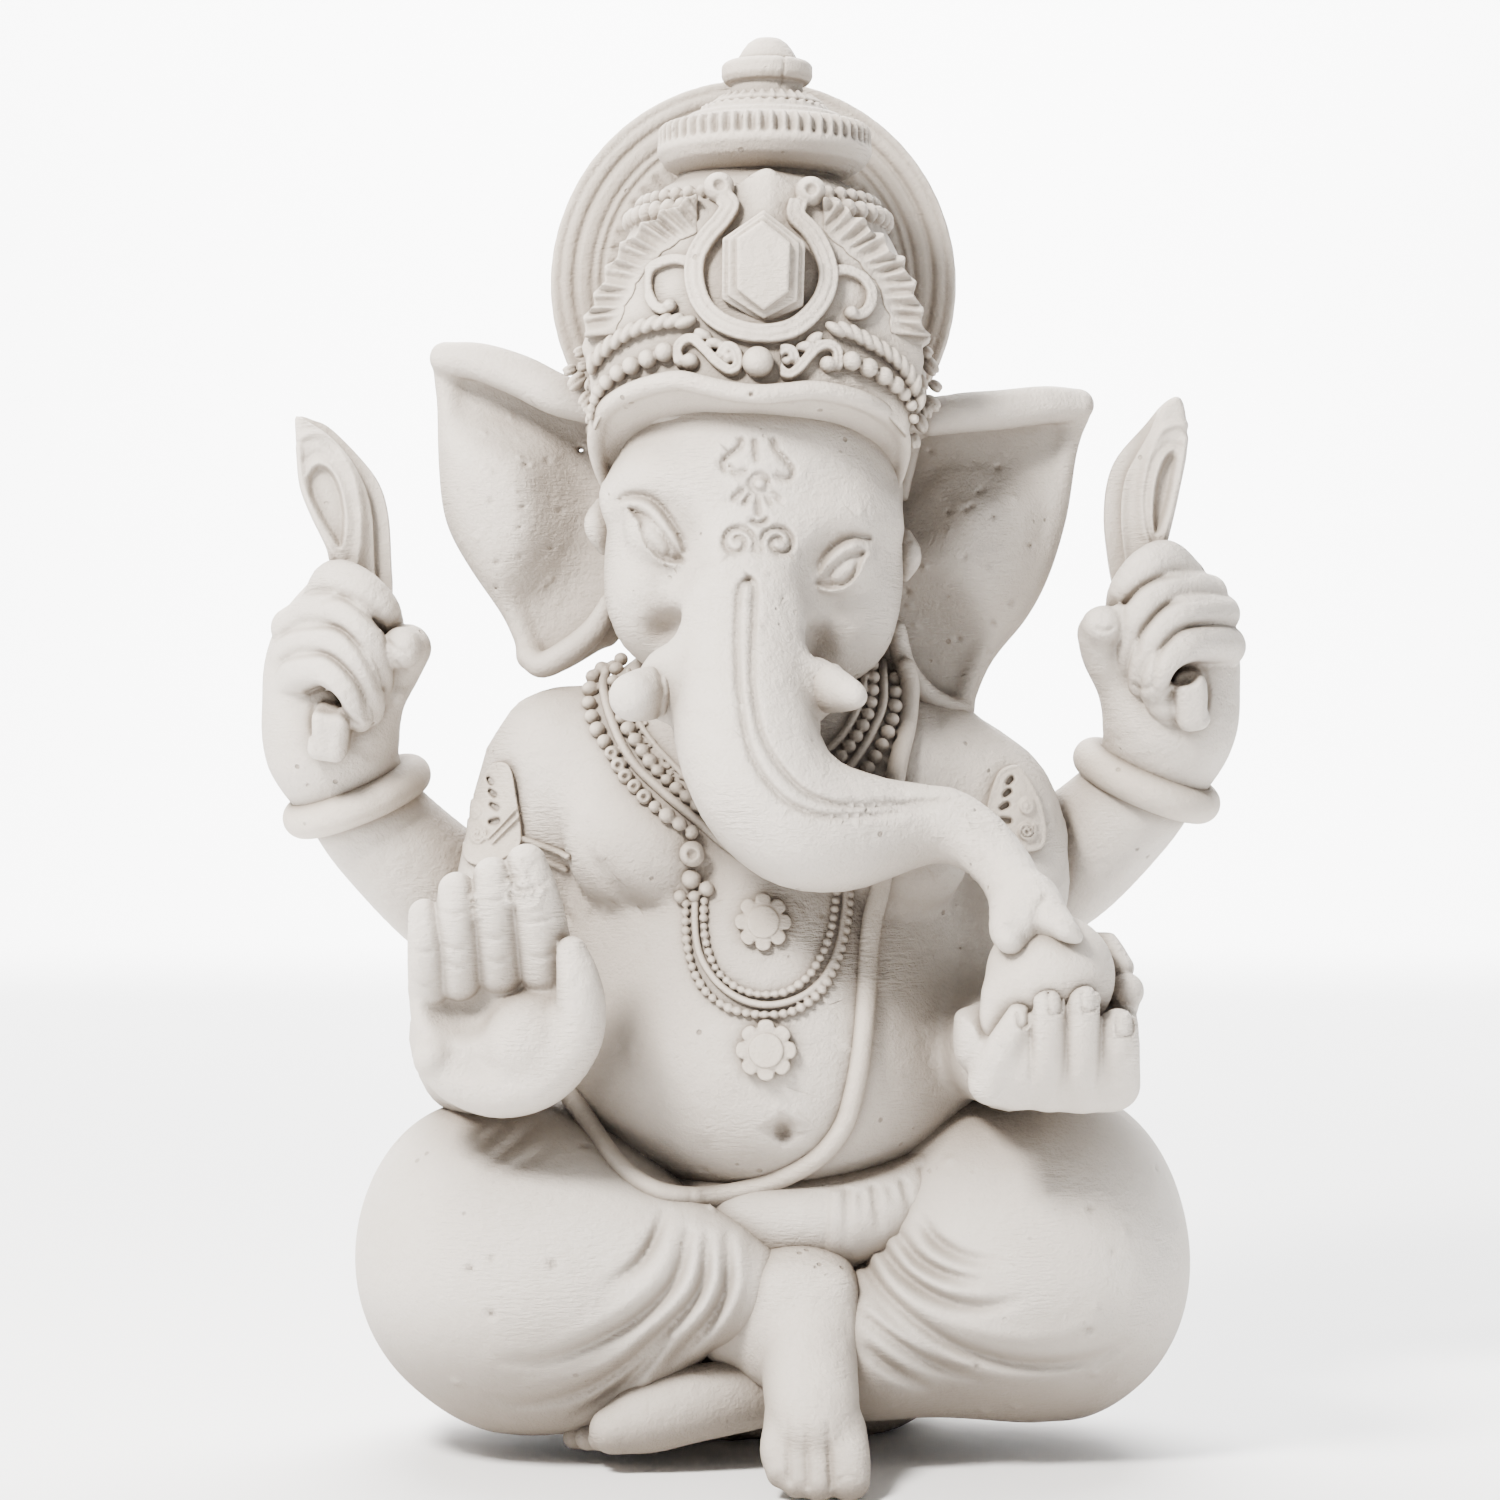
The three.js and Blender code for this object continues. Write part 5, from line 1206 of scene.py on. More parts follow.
def feet():
    clay = Clay((-16, -73, -1), (24, -22, 44), 0.45)
    clay.add(block((6.6, -38, 32.2), (9.6, 9.5, 7.6), 4.6, (6, 0, 0)))
    clay.add(limb([(6.1, -38, 32.8, 9.2), (7.5, -42, 26.8, 9.4), (7.5, -48, 20.6, 9), (7.9, -55, 15, 8.7),
                   (8.2, -60, 10, 7.8)]), 4)
    clay.add(limb([(-5, -34, 27.8, 10), (0.4, -37, 29.4, 10.2), (6.1, -38, 29.9, 9)]), 4)
    clay.add(ball((0, -40, 22.7), (5.5, 6, 7)), 4)
    for points in (
            [(3, -56, 11.5, 4), (1.5, -62, 8.1, 3.3), (2.2, -65.5, 4.7, 2.9)],
            [(5.3, -58, 10.6, 4), (4.9, -64, 7, 3.3), (5.1, -67, 3.2, 2.9)],
            [(8.6, -58, 10.2, 4.2), (8.7, -65, 6.8, 3.4), (8.9, -68, 2.9, 3)],
            [(12.9, -57, 10.4, 5), (14, -64, 7, 4.3), (14.3, -67, 3.6, 3.9)]):
        finger(clay, points, 1.5)
    toe_gaps = [
        [(3.3, 14.3, 0.1), (3.3, 10.8, 1), (3.6, 3.8, 1)], [(6.5, 14.3, 0.1), (6.7, 11, 1),
                (6.9, 3.1, 1)],
        [(10.5, 14.3, 0.1), (10.7, 11, 1), (11, 3.1, 1)],
    ]
    clay.curves(toe_gaps, 0.5, 0.5, nearer_than=-50)
    clay.curves([[(12.3, 4), (13.9, 5.1), (16, 4.6)]], 0.4, 0.35, nearer_than=-60)
    clay.floor()
    clay.cast("foot_right", SKIN)

    clay = Clay((-42, -52, -1), (6, -18, 24), 0.45)
    clay.add(limb([(4.2, -33, 14.8, 6.6), (-5.3, -37, 13.6, 6.9), (-14.4, -39, 12.3, 7.2),
                   (-22.3, -40, 10.2, 6.8), (-26.8, -41, 8.7, 5.4), (-29.4, -42, 7.9, 4.5)]))
    clay.add(limb([(-20.6, -34, 8.7, 6), (-28.2, -33, 5.9, 4.2)]), 3)
    for points in ([(-27.1, -38, 7.2, 3.4), (-31.8, -38, 5.7, 2.5)],
                   [(-29.2, -34, 6, 3.2), (-34.5, -34, 4.9, 2.4)],
                   [(-31.2, -30, 4.9, 3), (-37.2, -30, 4.3, 2.3)]):
        clay.add(limb(points, 3), 0.6)
    clay.floor()
    clay.cast("foot_left", SKIN)


# ------------------------------------------------------------------------------ the crown
CROWN_X, CROWN_Y = -2.0, 1.5  # the axis of the bell
RING_X = -0.7  # the axis of the toothed ring, which sits a little askew
CAP_X = -0.2


def shield_level(x, z):
    """How far forward the crown's front shield stands."""
    foot, reach_at_foot, lean = 203, 40.5, 0.29
    centre, half_width, rear, least = -1.8, 42.0, 2.0, 0.03
    reach = reach_at_foot - (z - foot) * lean
    return rear - reach * np.sqrt(np.maximum(1 - ((x - centre) / half_width) ** 2, least))


SHIELD = [(-0.2, 247.5), (-3.1, 246.9), (-5.8, 245.3), (-8.9, 243.8), (-11.6, 242.1), (-13.7, 242.8),
          (-16, 242.2), (-17.5, 240.3), (-21, 239.9), (-21.8, 237.9), (-24.6, 237.8), (-25.8, 234.9),
          (-28.7, 234.1), (-29.3, 230.8), (-31.7, 229.7), (-31.7, 226.4), (-34, 224.5), (-33.8, 221.9),
          (-36, 220.2), (-35.4, 217.1), (-36.5, 214.4), (-34.9, 210), (-34.4, 204.3), (-33.9, 197.1),
          (-31.7, 201.3), (-27.2, 203.8), (-21.5, 205.4), (-12.9, 204.7), (-1.5, 202.7), (8.3, 203.7),
          (14.1, 203.2), (18.7, 201.9), (22.7, 199.8), (26.6, 196.1), (28.7, 204.4), (30.2, 211.5),
          (29.8, 214.4), (31.8, 216), (29.4, 218.2), (30.1, 221.3), (27.9, 223.9), (28.7, 226.5),
          (26.3, 228.5), (26.4, 231.3), (23.3, 231.9), (22.1, 235.7), (19.6, 235.7), (18.6, 238.3),
          (16.2, 238.5), (15.1, 240.4), (13.5, 241.4), (10.4, 242.2), (7.9, 243), (5.4, 244.6),
          (2.9, 246.1)]


def crown_bell():
    clay = Clay((-42, -44, 184), (40, 42, 262), 0.5)
    bell = [(0, 186), (30, 186), (32.4, 196), (33.8, 206), (33.8, 214), (32.8, 222), (30.6, 229),
            (27.6, 236), (24.8, 241), (22.3, 245), (19.2, 248), (16.6, 249.5), (15.8, 251), (15.6, 256),
            (0, 256)]
    clay.add(revolved(bell, CROWN_X, CROWN_Y))
    # the hollow of the brow: the bell opens over the forehead
    clay.cut(ball((-2.5, -30, 176), (27, 30, 25)), 2)
    clay.cut(block((-1, -26, 184), (48, 26, 14), 3), 2)
    # a frieze of two rows of petals round the top of the bell
    for count, radius, height, size in ((46, 25.6, 241.6, 1.75), (46, 23.4, 244.6, 1.45)):
        for cos, sin in around(count):
            petal = (CROWN_X + radius * cos, CROWN_Y + radius * sin, height)
            clay.add(ball(petal, (size, size, size * 1.15)), 0.3)
    # round bands low on the sides and back
    clay.add(hoop((CROWN_X, CROWN_Y, 200), (0, 0, 1), 33.4, 1.3), 0.8)
    clay.add(hoop((CROWN_X, CROWN_Y, 205), (0, 0, 1), 34.0, 0.8), 0.6)
    shield, half = Outline(SHIELD), 4.0

    def distance(x, y, z):
        return between(shield(x, z), y - shield_level(x, z) - half, half, 0.5)

    low, high = shield.points.min(axis=0), shield.points.max(axis=0)
    clay.add(((low[0], -44, low[1]), (high[0], 2, high[1]), distance), 0.4)
    # the raised fold up the middle of the shield
    clay.draw([[(-0.2, 247.3), (-0.2, 239)]], 2.6, -1.1, nearer_than=-8)
    FRONTS["crown"] = Front(clay)
    clay.cast("crown_bell", CROWN, 0.1)


def leaf_borders():
    """The serrated, pleated edges that stand forward round the shield, and the temple leaves."""
    shield = Outline(SHIELD)
    rim_width, band_width, fold_depth, forward, half = 5.6, 6.2, 1.5, 3.9, 1.6
    opening, band_foot = 12.0, 216  # the gap left for the gem, and the lower end of the border
    rng = np.random.default_rng(21)
    peaks = {
        "right": [(-13.6, 242.1), (-15.9, 241.8), (-18.4, 240.2), (-21, 239.4), (-22.7, 237.9),
                  (-24.4, 237.3), (-26.4, 234.7), (-28.6, 233.5), (-30, 230.7), (-31.6, 229.1),
                  (-32.6, 225.8), (-33.8, 224), (-34.6, 221.4), (-35.8, 219.7), (-35.9, 216.9)],
        "left": [(11.1, 241.6), (13.4, 241), (15.2, 239.3), (18.1, 238.1), (19.8, 235.7), (22, 235.1),
                 (23.9, 232.1), (26.3, 230.7), (27.1, 228.4), (28.5, 226), (28.9, 223.4), (29.9, 220.8),
                 (30.4, 218.2), (31.6, 215.6)],
    }
    hub = np.array((-1.2, 222.2))
    leaves = {
        "right": [(-37.5, 208.2, -14, -38, 3.4), (-35.6, 204.6, -16, -50, 2.9),
                  (-36.8, 214.3, -12, -20, 2.5), (-34.5, 212.4, -15, -60, 2.5),
                  (-33, 210.3, -18, -55, 2.2), (-36.1, 211.4, -13, -10, 2.4),
                  (-34.8, 207.6, -16, -70, 2.2), (-39.1, 210.9, -10, -20, 2.4),
                  (-34.3, 200.8, -19, -62, 2.6), (-33.6, 197.4, -20, -72, 2.2),
                  (-35, 202.4, -17, -30, 1.8)],
        "left": [(31.8, 211.4, -13, 50, 3.2), (29.7, 207.8, -16, 60, 3), (32, 204.1, -13, 35, 3.2),
                 (29.7, 199.9, -17, 62, 2.9), (28.4, 196.2, -19, 74, 2.4), (30.8, 214.2, -13, 30, 2.6),
                 (32.9, 207.7, -11, 40, 2.4), (31, 202.3, -14, 80, 2.2), (28.1, 209.7, -18, 70, 2.3),
                 (28.5, 203.9, -18, 75, 2.2)],
    }
    for side, sign in SIDES:
        low = (-42, -42, 194) if side == "right" else (6, -42, 194)
        high = (-8, 2, 248) if side == "right" else (38, 2, 248)
        clay = Clay(low, high, 0.36)
        turns = [-math.atan2(z - hub[1], sign * (x - hub[0])) for x, z in peaks[side]]

        def distance(x, y, z):
            edge = shield(x, z)
            near_rim = np.clip(1 + edge / rim_width, 0, 1)
            turn = -np.arctan2(z - hub[1], sign * (x - hub[0]))
            ray = np.interp(turn, turns, np.arange(len(turns)))
            fold = fold_depth * (1 - np.abs(2 * (ray % 1) - 1)) * near_rim ** 0.6
            band = np.maximum(edge, -(edge + band_width))
            band = np.maximum(band, opening - sign * (x + 1.6))
            band = np.maximum(band, band_foot - z)
            level = shield_level(x, z) - 0.3 - forward * near_rim ** 1.4 + fold
            return between(band, y - level - half, half, 0.35)

        clay.add((np.array(low, float), np.array(high, float), distance))
        pleats = []
        for a, b in zip(peaks[side][:-1], peaks[side][1:]):
            for share in (0.35, 0.7):
                peak = np.array(a) + share * (np.array(b) - np.array(a)) + rng.normal(0, 0.15, 2)
                inward = (hub - peak) / np.linalg.norm(hub - peak)
                pleats.append([(*(peak + 0.8 * inward), 0.5), (*(peak + 4.6 * inward), 0.5),
                               (*(peak + 5.8 * inward), 0.1)])
        clay.draw(pleats, 0.35, 0.35, nearer_than=2)
        for x, z, depth, tilt, size in leaves[side]:
            leaf = (size * 0.74, 1.5, size * 0.46)
            clay.add(ball((x, depth, z), leaf, (0, tilt, sign * -35)), 0.25)
            rib, mid = heading(tilt) * size * 0.6, np.array([x, z])
            clay.draw([[mid - rib, mid + rib]], 0.24, 0.5, nearer_than=-4)
        clay.cast(f"crown_leaf_border_{side}", CROWN)


def beside(line, away):
    """A line of (x, z) moved sideways in its own plane."""
    run = np.gradient(np.array(line), axis=0)
    run /= np.linalg.norm(run, axis=1)[:, None]
    return np.array(line) + away * np.column_stack([-run[:, 1], run[:, 0]])


def lay_rod(clay, front, line, lift, radius, blend):
    """A rod laid on a front, its points already close together."""
    clay.add(rods(front.lay(line, lift), radius), blend)


def crown_frame():
    front = FRONTS["crown"]
    # the horseshoe ribbon: flat, with raised edges, and its two rolled ends
    clay = Clay((-24, -46, 208), (22, -18, 248), 0.36)
    line = evenly([(-8.5, 241.7), (-7.3, 240.2), (-8.8, 237.3), (-11.7, 233.8), (-13.7, 229.8),
                   (-13.8, 224.9), (-12, 220), (-7.8, 216.4), (-1.5, 214.7), (4.6, 216), (9.1, 220.4),
                   (11, 225.5), (10.3, 230.4), (8, 234.9), (5, 238.2), (5.4, 240.8)], 0.6)
    for away, lift, thick in ((-0.8, 0.6, 1.0), (0.8, 0.6, 1.0), (0, 1.0, 1.0), (-1.35, 1.55, 0.55),
                              (1.35, 1.55, 0.55), (0, 1.3, 0.8)):
        lay_rod(clay, front, beside(line, away), lift, thick, 0.3)
    for end in ((-8.8, 243.3), (7.9, 242.3)):
        at = front.lay([end], 1.4)[0]
        clay.add(ball(at, (3.0, 2.3, 2.9)), 0.6)
        clay.cut(ball(at + (0.1, -2.6, 0.2), (1.3, 1.5, 1.3)), 0.4)
    # the pair of C scrolls
    for curl in (
            [(-14.1, 228.9), (-17.2, 230), (-19.9, 229.7), (-22.3, 228.5), (-23.1, 226.2), (-22.7, 223.3),
             (-21.3, 220.8), (-19.6, 220), (-18.6, 220.8)],
            [(11.5, 227.4), (14.5, 227.9), (17.5, 226.8), (19.2, 224.6), (19.4, 222.4), (18.5, 220.2),
             (16.9, 219.1), (15.5, 219.4)]):
        line = evenly(curl, 0.6)
        for away, lift, thick in ((0, 0.4, 1.0), (-0.55, 1.0, 0.5), (0.55, 1.0, 0.5)):
            lay_rod(clay, front, beside(line, away), lift, thick, 0.25)
        clay.add(ball(front.lay(line[-1:], 0.9)[0], 1.35), 0.5)
    clay.cast("crown_gem_frame", CROWN)

    clay = Clay((-12, -44, 214), (10, -26, 242), 0.3)
    outer = [(0, 10.8), (-7.8, 5.4), (-8.0, -6.0), (0, -10.8), (7.6, -7.4), (7.9, 4.6)]
    inner = [(-0.2, 8.2), (-5.1, 4.9), (-5.1, -4.8), (0, -8.8), (4.8, -5.2), (5.1, 4.0)]
    middle = [(0.6 * a[0] + 0.4 * b[0], 0.6 * a[1] + 0.4 * b[1]) for a, b in zip(outer, inner)]
    lean = (9, 0, 0)
    clay.add(plate(Outline(outer), (-1, -32.6, 228.2), 3.2, 0.35, lean))
    clay.add(plate(Outline(middle), (-1, -34.0, 228.2), 3.0, 0.35, lean))
    clay.add(plate(Outline(inner), (-1, -35.6, 228.4), 3.0, 0.6, lean))
    clay.cast("crown_gem", JEWEL)


def crown_strings():
    front = FRONTS["crown"]
    ropes = {
        "right": [(-34.4, 208.6), (-33.1, 210.8), (-30.4, 213.5), (-25.9, 216.2), (-21.2, 217.4),
                  (-16.8, 217.6), (-13.5, 216.5)],
        "left": [(10.3, 215.7), (14.3, 215.8), (18.4, 214), (22.7, 211.6), (26, 208.5), (27.9, 205),
                 (28.5, 202)],
    }
    rows = {
        "right": [(-19.4, 211.5, 1.85), (-22.5, 210.4, 1.8), (-25.6, 209.3, 1.75), (-28.2, 208.1, 1.62),
                  (-30.4, 206.6, 1.5), (-32, 205.1, 1.3), (-32.9, 203.5, 1.1), (-33.5, 201.9, 0.9),
                  (-33.9, 200.5, 0.8), (-34.2, 199.1, 0.72), (-34.3, 197.8, 0.65)],
        "left": [(15.2, 209.7, 1.85), (18.4, 208.6, 1.8), (21.3, 207.2, 1.72), (23.6, 205.7, 1.6),
                 (25.4, 204.1, 1.3), (26.8, 202.1, 1.15), (27.4, 200.2, 1.0), (27.8, 198.3, 0.9),
                 (28, 196.6, 0.8), (27.9, 195.2, 0.7)],
    }
    scrolls = {
        "right": dict(
            line=[(-16.7, 209.6), (-17.1, 211.9), (-16.1, 213.6), (-14.2, 214), (-11.9, 211.8),
                  (-9.8, 209.4), (-7.2, 207.6), (-5.7, 208.9), (-6.2, 211.5), (-7.9, 212.4),
                  (-8.9, 210.9)],
            bulbs=[(-14.8, 209.7, 1.7), (-7.6, 210.2, 1.15)],
            drops=[(-12.3, 214.9, 25), (-10, 213.1, 10)]),
        "left": dict(
            line=[(12.9, 209), (12.7, 211.8), (11.2, 212.9), (9.1, 212.3), (7.2, 210.3), (5.5, 208.1),
                  (3.6, 206.8), (1.7, 208.2), (1.3, 210.3), (2.5, 211.7), (4.2, 211.5), (4.7, 210)],
            bulbs=[(11, 209.2, 1.6), (3.2, 209.6, 0.9)], drops=[(6.8, 212.5, -10), (8.5, 214.1, -30)]),
    }
    for side, sign in SIDES:
        low = (-40, -46, 190) if side == "right" else (2, -46, 188)
        high = (-2, -4, 226) if side == "right" else (36, -4, 226)
        # the rope, strand by strand
        clay = Clay(low, high, 0.3)
        line = evenly(ropes[side], 2.15)
        laid = front.lay(line, 1.1)
        for before, at, after in zip(laid[:-2], laid[1:-1], laid[2:]):
            run = after - before
            slope = math.degrees(math.atan2(run[2], run[0]))
            swing = math.degrees(math.atan2(run[1], run[0]))
            clay.add(ball(at, (2.3, 1.6, 1.12), (0, -slope + sign * 34, 0.5 * swing)), 0.12)
        clay.cast(f"crown_rope_{side}", JEWEL)
        # the row of shrinking beads
        clay = Clay(low, high, 0.3)
        for x, z, radius in rows[side]:
            at = front.lay([(x, z)], radius * 0.75)[0]
            clay.add(ball(at, radius * 1.03), 0.1)
        clay.cast(f"crown_bead_row_{side}", JEWEL)
        # the S scroll with its bulbs and drops
        clay = Clay(low, high, 0.3)
        line = evenly(scrolls[side]["line"], 0.6)
        for away, lift, thick in ((0, 0.5, 1.05), (-0.5, 1.3, 0.48), (0.5, 1.3, 0.48)):
            lay_rod(clay, front, beside(line, away), lift, thick, 0.2)
        for x, z, radius in scrolls[side]["bulbs"]:
            clay.add(ball(front.lay([(x, z)], 0.6)[0], radius), 0.3)
        for x, z, tilt in scrolls[side]["drops"]:
            clay.add(ball(front.lay([(x, z)], 0.8)[0], (1.9, 1.1, 1.05), (0, tilt, 0)), 0.2)
        clay.cast(f"crown_scroll_{side}", CROWN)

    clay = Clay((-8, -48, 202), (4, -34, 216), 0.3)
    at = front.lay([(-2.1, 209.1)], 1.4)[0]
    clay.add(ball(at, 3.0))
    clay.cast("crown_centre_bead", JEWEL)


def brow_band():
    clay = Clay((-38, -46, 178), (32, 0, 212), 0.42)
    rim = [(-30, -10, 184.5, 1.2), (-32.9, -15, 191.6, 1.5), (-33.6, -20, 197.1, 1.65),
           (-31.7, -25, 201.6, 1.75), (-27.4, -31, 204.1, 1.8), (-22.1, -35, 205.6, 1.8),
           (-17.2, -38, 206.1, 1.8), (-12.9, -39, 205.2, 1.8), (-7.2, -40, 203.8, 1.8),
           (-1.5, -40.5, 203.2, 1.85), (3.2, -40, 203.6, 1.8), (8.3, -39, 204.1, 1.8),
           (13.7, -37, 203.5, 1.8), (18.5, -34, 202.3, 1.8), (22.8, -29, 200.3, 1.7),
           (25.5, -24, 197.7, 1.5), (26.3, -19, 194.6, 1.4), (25.7, -15, 191, 1.3), (23.9, -10, 185.7, 1)]
    foot = [(-28.9, -8, 184.7, 1), (-29.4, -10, 187.3, 1), (-28.9, -13, 190.6, 1), (-27.4, -16, 193.7, 1),
            (-24.9, -20, 196.5, 1), (-21.8, -24, 198.6, 1), (-17.9, -28, 200.4, 1), (-13, -31, 201.1, 1),
            (-7.3, -33, 200.9, 1), (-2.5, -33, 200.7, 1), (2.3, -33, 200.1, 1), (7.1, -32, 199.6, 1),
            (10.9, -30, 199.1, 1), (14.8, -27, 198, 1), (17.8, -23, 196, 1), (19.9, -19, 194, 1),
            (21.3, -16, 191.1, 1), (22.2, -12, 188.7, 1), (22.9, -9, 185.8, 1)]
    # a wall slopes back from the rim to the forehead
    edge, inner = smooth_line(rim, 8), smooth_line(foot, 8)
    clay.add([taper((*a[:3], 1.2), (*(b[:3] + (0, 2, 0)), 1.6)) for a, b in zip(edge, inner)], 0.8)
    clay.add(limb(rim, 5), 0.8)
    clay.cut(ball((-3.4, -42.4, 203), (0.45, 1.2, 0.45)), 0.1)
    clay.cast("crown_brow_band", CROWN)


RING = [(0, 250.2), (15.2, 250.2), (17.2, 250.9), (20.0, 252.6), (21.4, 254.8), (21.5, 259.4),
        (20.6, 260.6), (16.4, 261.2), (15.6, 262.4), (13.4, 262.9), (12.6, 264.0), (0, 264.2)]


def crown_top():
    # the toothed ring
    clay = Clay((-24, -23, 249), (23, 23, 265), 0.45)
    rings = both_sides(RING)
    widest, beads, bead_row = 21.6, 34, 12.2
    teeth, tooth_depth, tooth_foot, tooth_root = 52, 1.7, 256.0, 17.5

    def distance(x, y, z):
        away = np.sqrt((x - RING_X) ** 2 + y ** 2)
        turn = np.arctan2(y, x - RING_X) * teeth / (2 * math.pi)
        tooth = np.abs(turn - np.floor(turn) - 0.5) * 2
        upper = np.clip((z - tooth_foot) / 0.8, 0, 1) * np.clip((away - tooth_root) / 2.5, 0, 1)
        return rings(away, z) + tooth_depth * upper * tooth ** 1.6

    clay.add((np.array([RING_X - widest, -widest, 249.5]), np.array([RING_X + widest, widest, 264.5]),
              distance))
    for cos, sin in around(beads):
        clay.add(ball((RING_X + bead_row * cos, bead_row * sin, 263.4), (0.85, 0.85, 1.2)), 0.3)
    clay.cast("crown_ring", CROWN)

    clay = Clay((-12, -12, 262), (12, 12, 275), 0.36)
    clay.add(revolved([(0, 263.5), (11.3, 263.5), (11.0, 265.2), (9.2, 266.0), (7.4, 266.6), (7.1, 269.0),
                       (8.4, 269.2), (9.1, 270.4), (9.1, 272.6), (8.3, 273.4), (0, 273.6)], CAP_X, 0))
    # short ribs that run down the foot of the cap
    ribs, outer, inner = 30, 10.9, 9.0
    for cos, sin in around(ribs):
        clay.add(taper((CAP_X + outer * cos, outer * sin, 264.6, 0.65),
                       (CAP_X + inner * cos, inner * sin, 266.3, 0.5)), 0.25)
    # a hairline crack down the cap and neck
    clay.draw([[(3.0, 273.4), (3.1, 270.5), (2.7, 269.6), (2.6, 267.2)]], 0.22, 0.45, nearer_than=-1)
    clay.cast("crown_cap", CROWN)

    clay = Clay((-8, -8, 271), (8, 8, 279.5), 0.36)
    clay.add(revolved([(0, 272.6), (6.2, 272.6), (6.1, 273.9), (5.0, 275.8), (3.9, 277.2), (2.6, 278.1),
                       (0, 278.5)], -0.1, 0))
    clay.cast("crown_finial", CROWN)


def halo():
    clay = Clay((-47, 22, 185), (42, 40, 277), 0.5)
    at, radius, half = (-2.9, 30.9, 233.2), 42.3, 5.2
    petals, petal_ring, rim_ring = 54, 30.6, 40
    grooves = ((37.0, 0.55, 0.75), (33.3, 0.5, 0.6), (31.4, 0.5, 0.6), (39.9, 0.4, 0.45))

    def distance(x, y, z):
        u, w = x - at[0], z - at[2]
        away = np.sqrt(u ** 2 + w ** 2)
        turn = np.arctan2(w, u) * petals / (2 * math.pi)
        wave = np.abs(turn - np.floor(turn) - 0.5) * 2
        petal = np.clip((petal_ring - away) / 1.2, 0, 1) * (0.9 * wave ** 2 - 0.25)
        bands = sum(depth * np.exp(-((away - r) / wide) ** 2) for r, wide, depth in grooves)
        flat = away - radius + 0.06 * wave ** 2
        front = np.where(y < at[1], bands + petal + 0.5 * np.clip((away - rim_ring) / 2, 0, 1), 0)
        return between(flat, y - at[1], half, 0.7) + front

    clay.add((np.array(at) - (radius, half, radius), np.array(at) + (radius, half, radius), distance))
    clay.add(ball((-2, 28, 222), (27, 10, 27)), 4)
    # small cast nicks round the rim
    rng = np.random.default_rng(8)
    nicks, first, swept = 64, -20, 220
    for i in range(nicks):
        a = math.radians(first + swept * i / (nicks - 1) + rng.normal(0, 0.8))
        r = radius - rng.uniform(0.6, 2.0)
        clay.cut(ball((at[0] + r * math.cos(a), at[1] - half, at[2] + r * math.sin(a)),
                      rng.uniform(0.25, 0.5)), 0.1)
    clay.piece("halo_plaster", CROWN, ["halo_disc"])


# ------------------------------------------------------------------- collars, chains, thread
def string(clay, front, points, radius, lift, blend=0.25):
    """A cord laid on a front."""
    clay.add(rods(front.lay(evenly(points, 1.1), lift), radius), blend)


def bead_run(clay, front, points, radius, lift=0.5, drilled=(), rng=None, rough=0.0):
    """Beads that touch along a line; those counted in `drilled` have a hole in their face."""
    line = evenly(points, 1.86 * radius)
    for n, at in enumerate(front.lay(line, lift)):
        size = radius * (1 + (rng.normal(0, rough) if rng else 0))
        clay.add(ball(at, (size * 1.02, size, size * 0.98)), 0.12)
        if n in drilled:
            clay.cut(ball(at + (0, -radius, 0), (0.45 * radius, 0.7 * radius, 0.45 * radius)), 0.1)


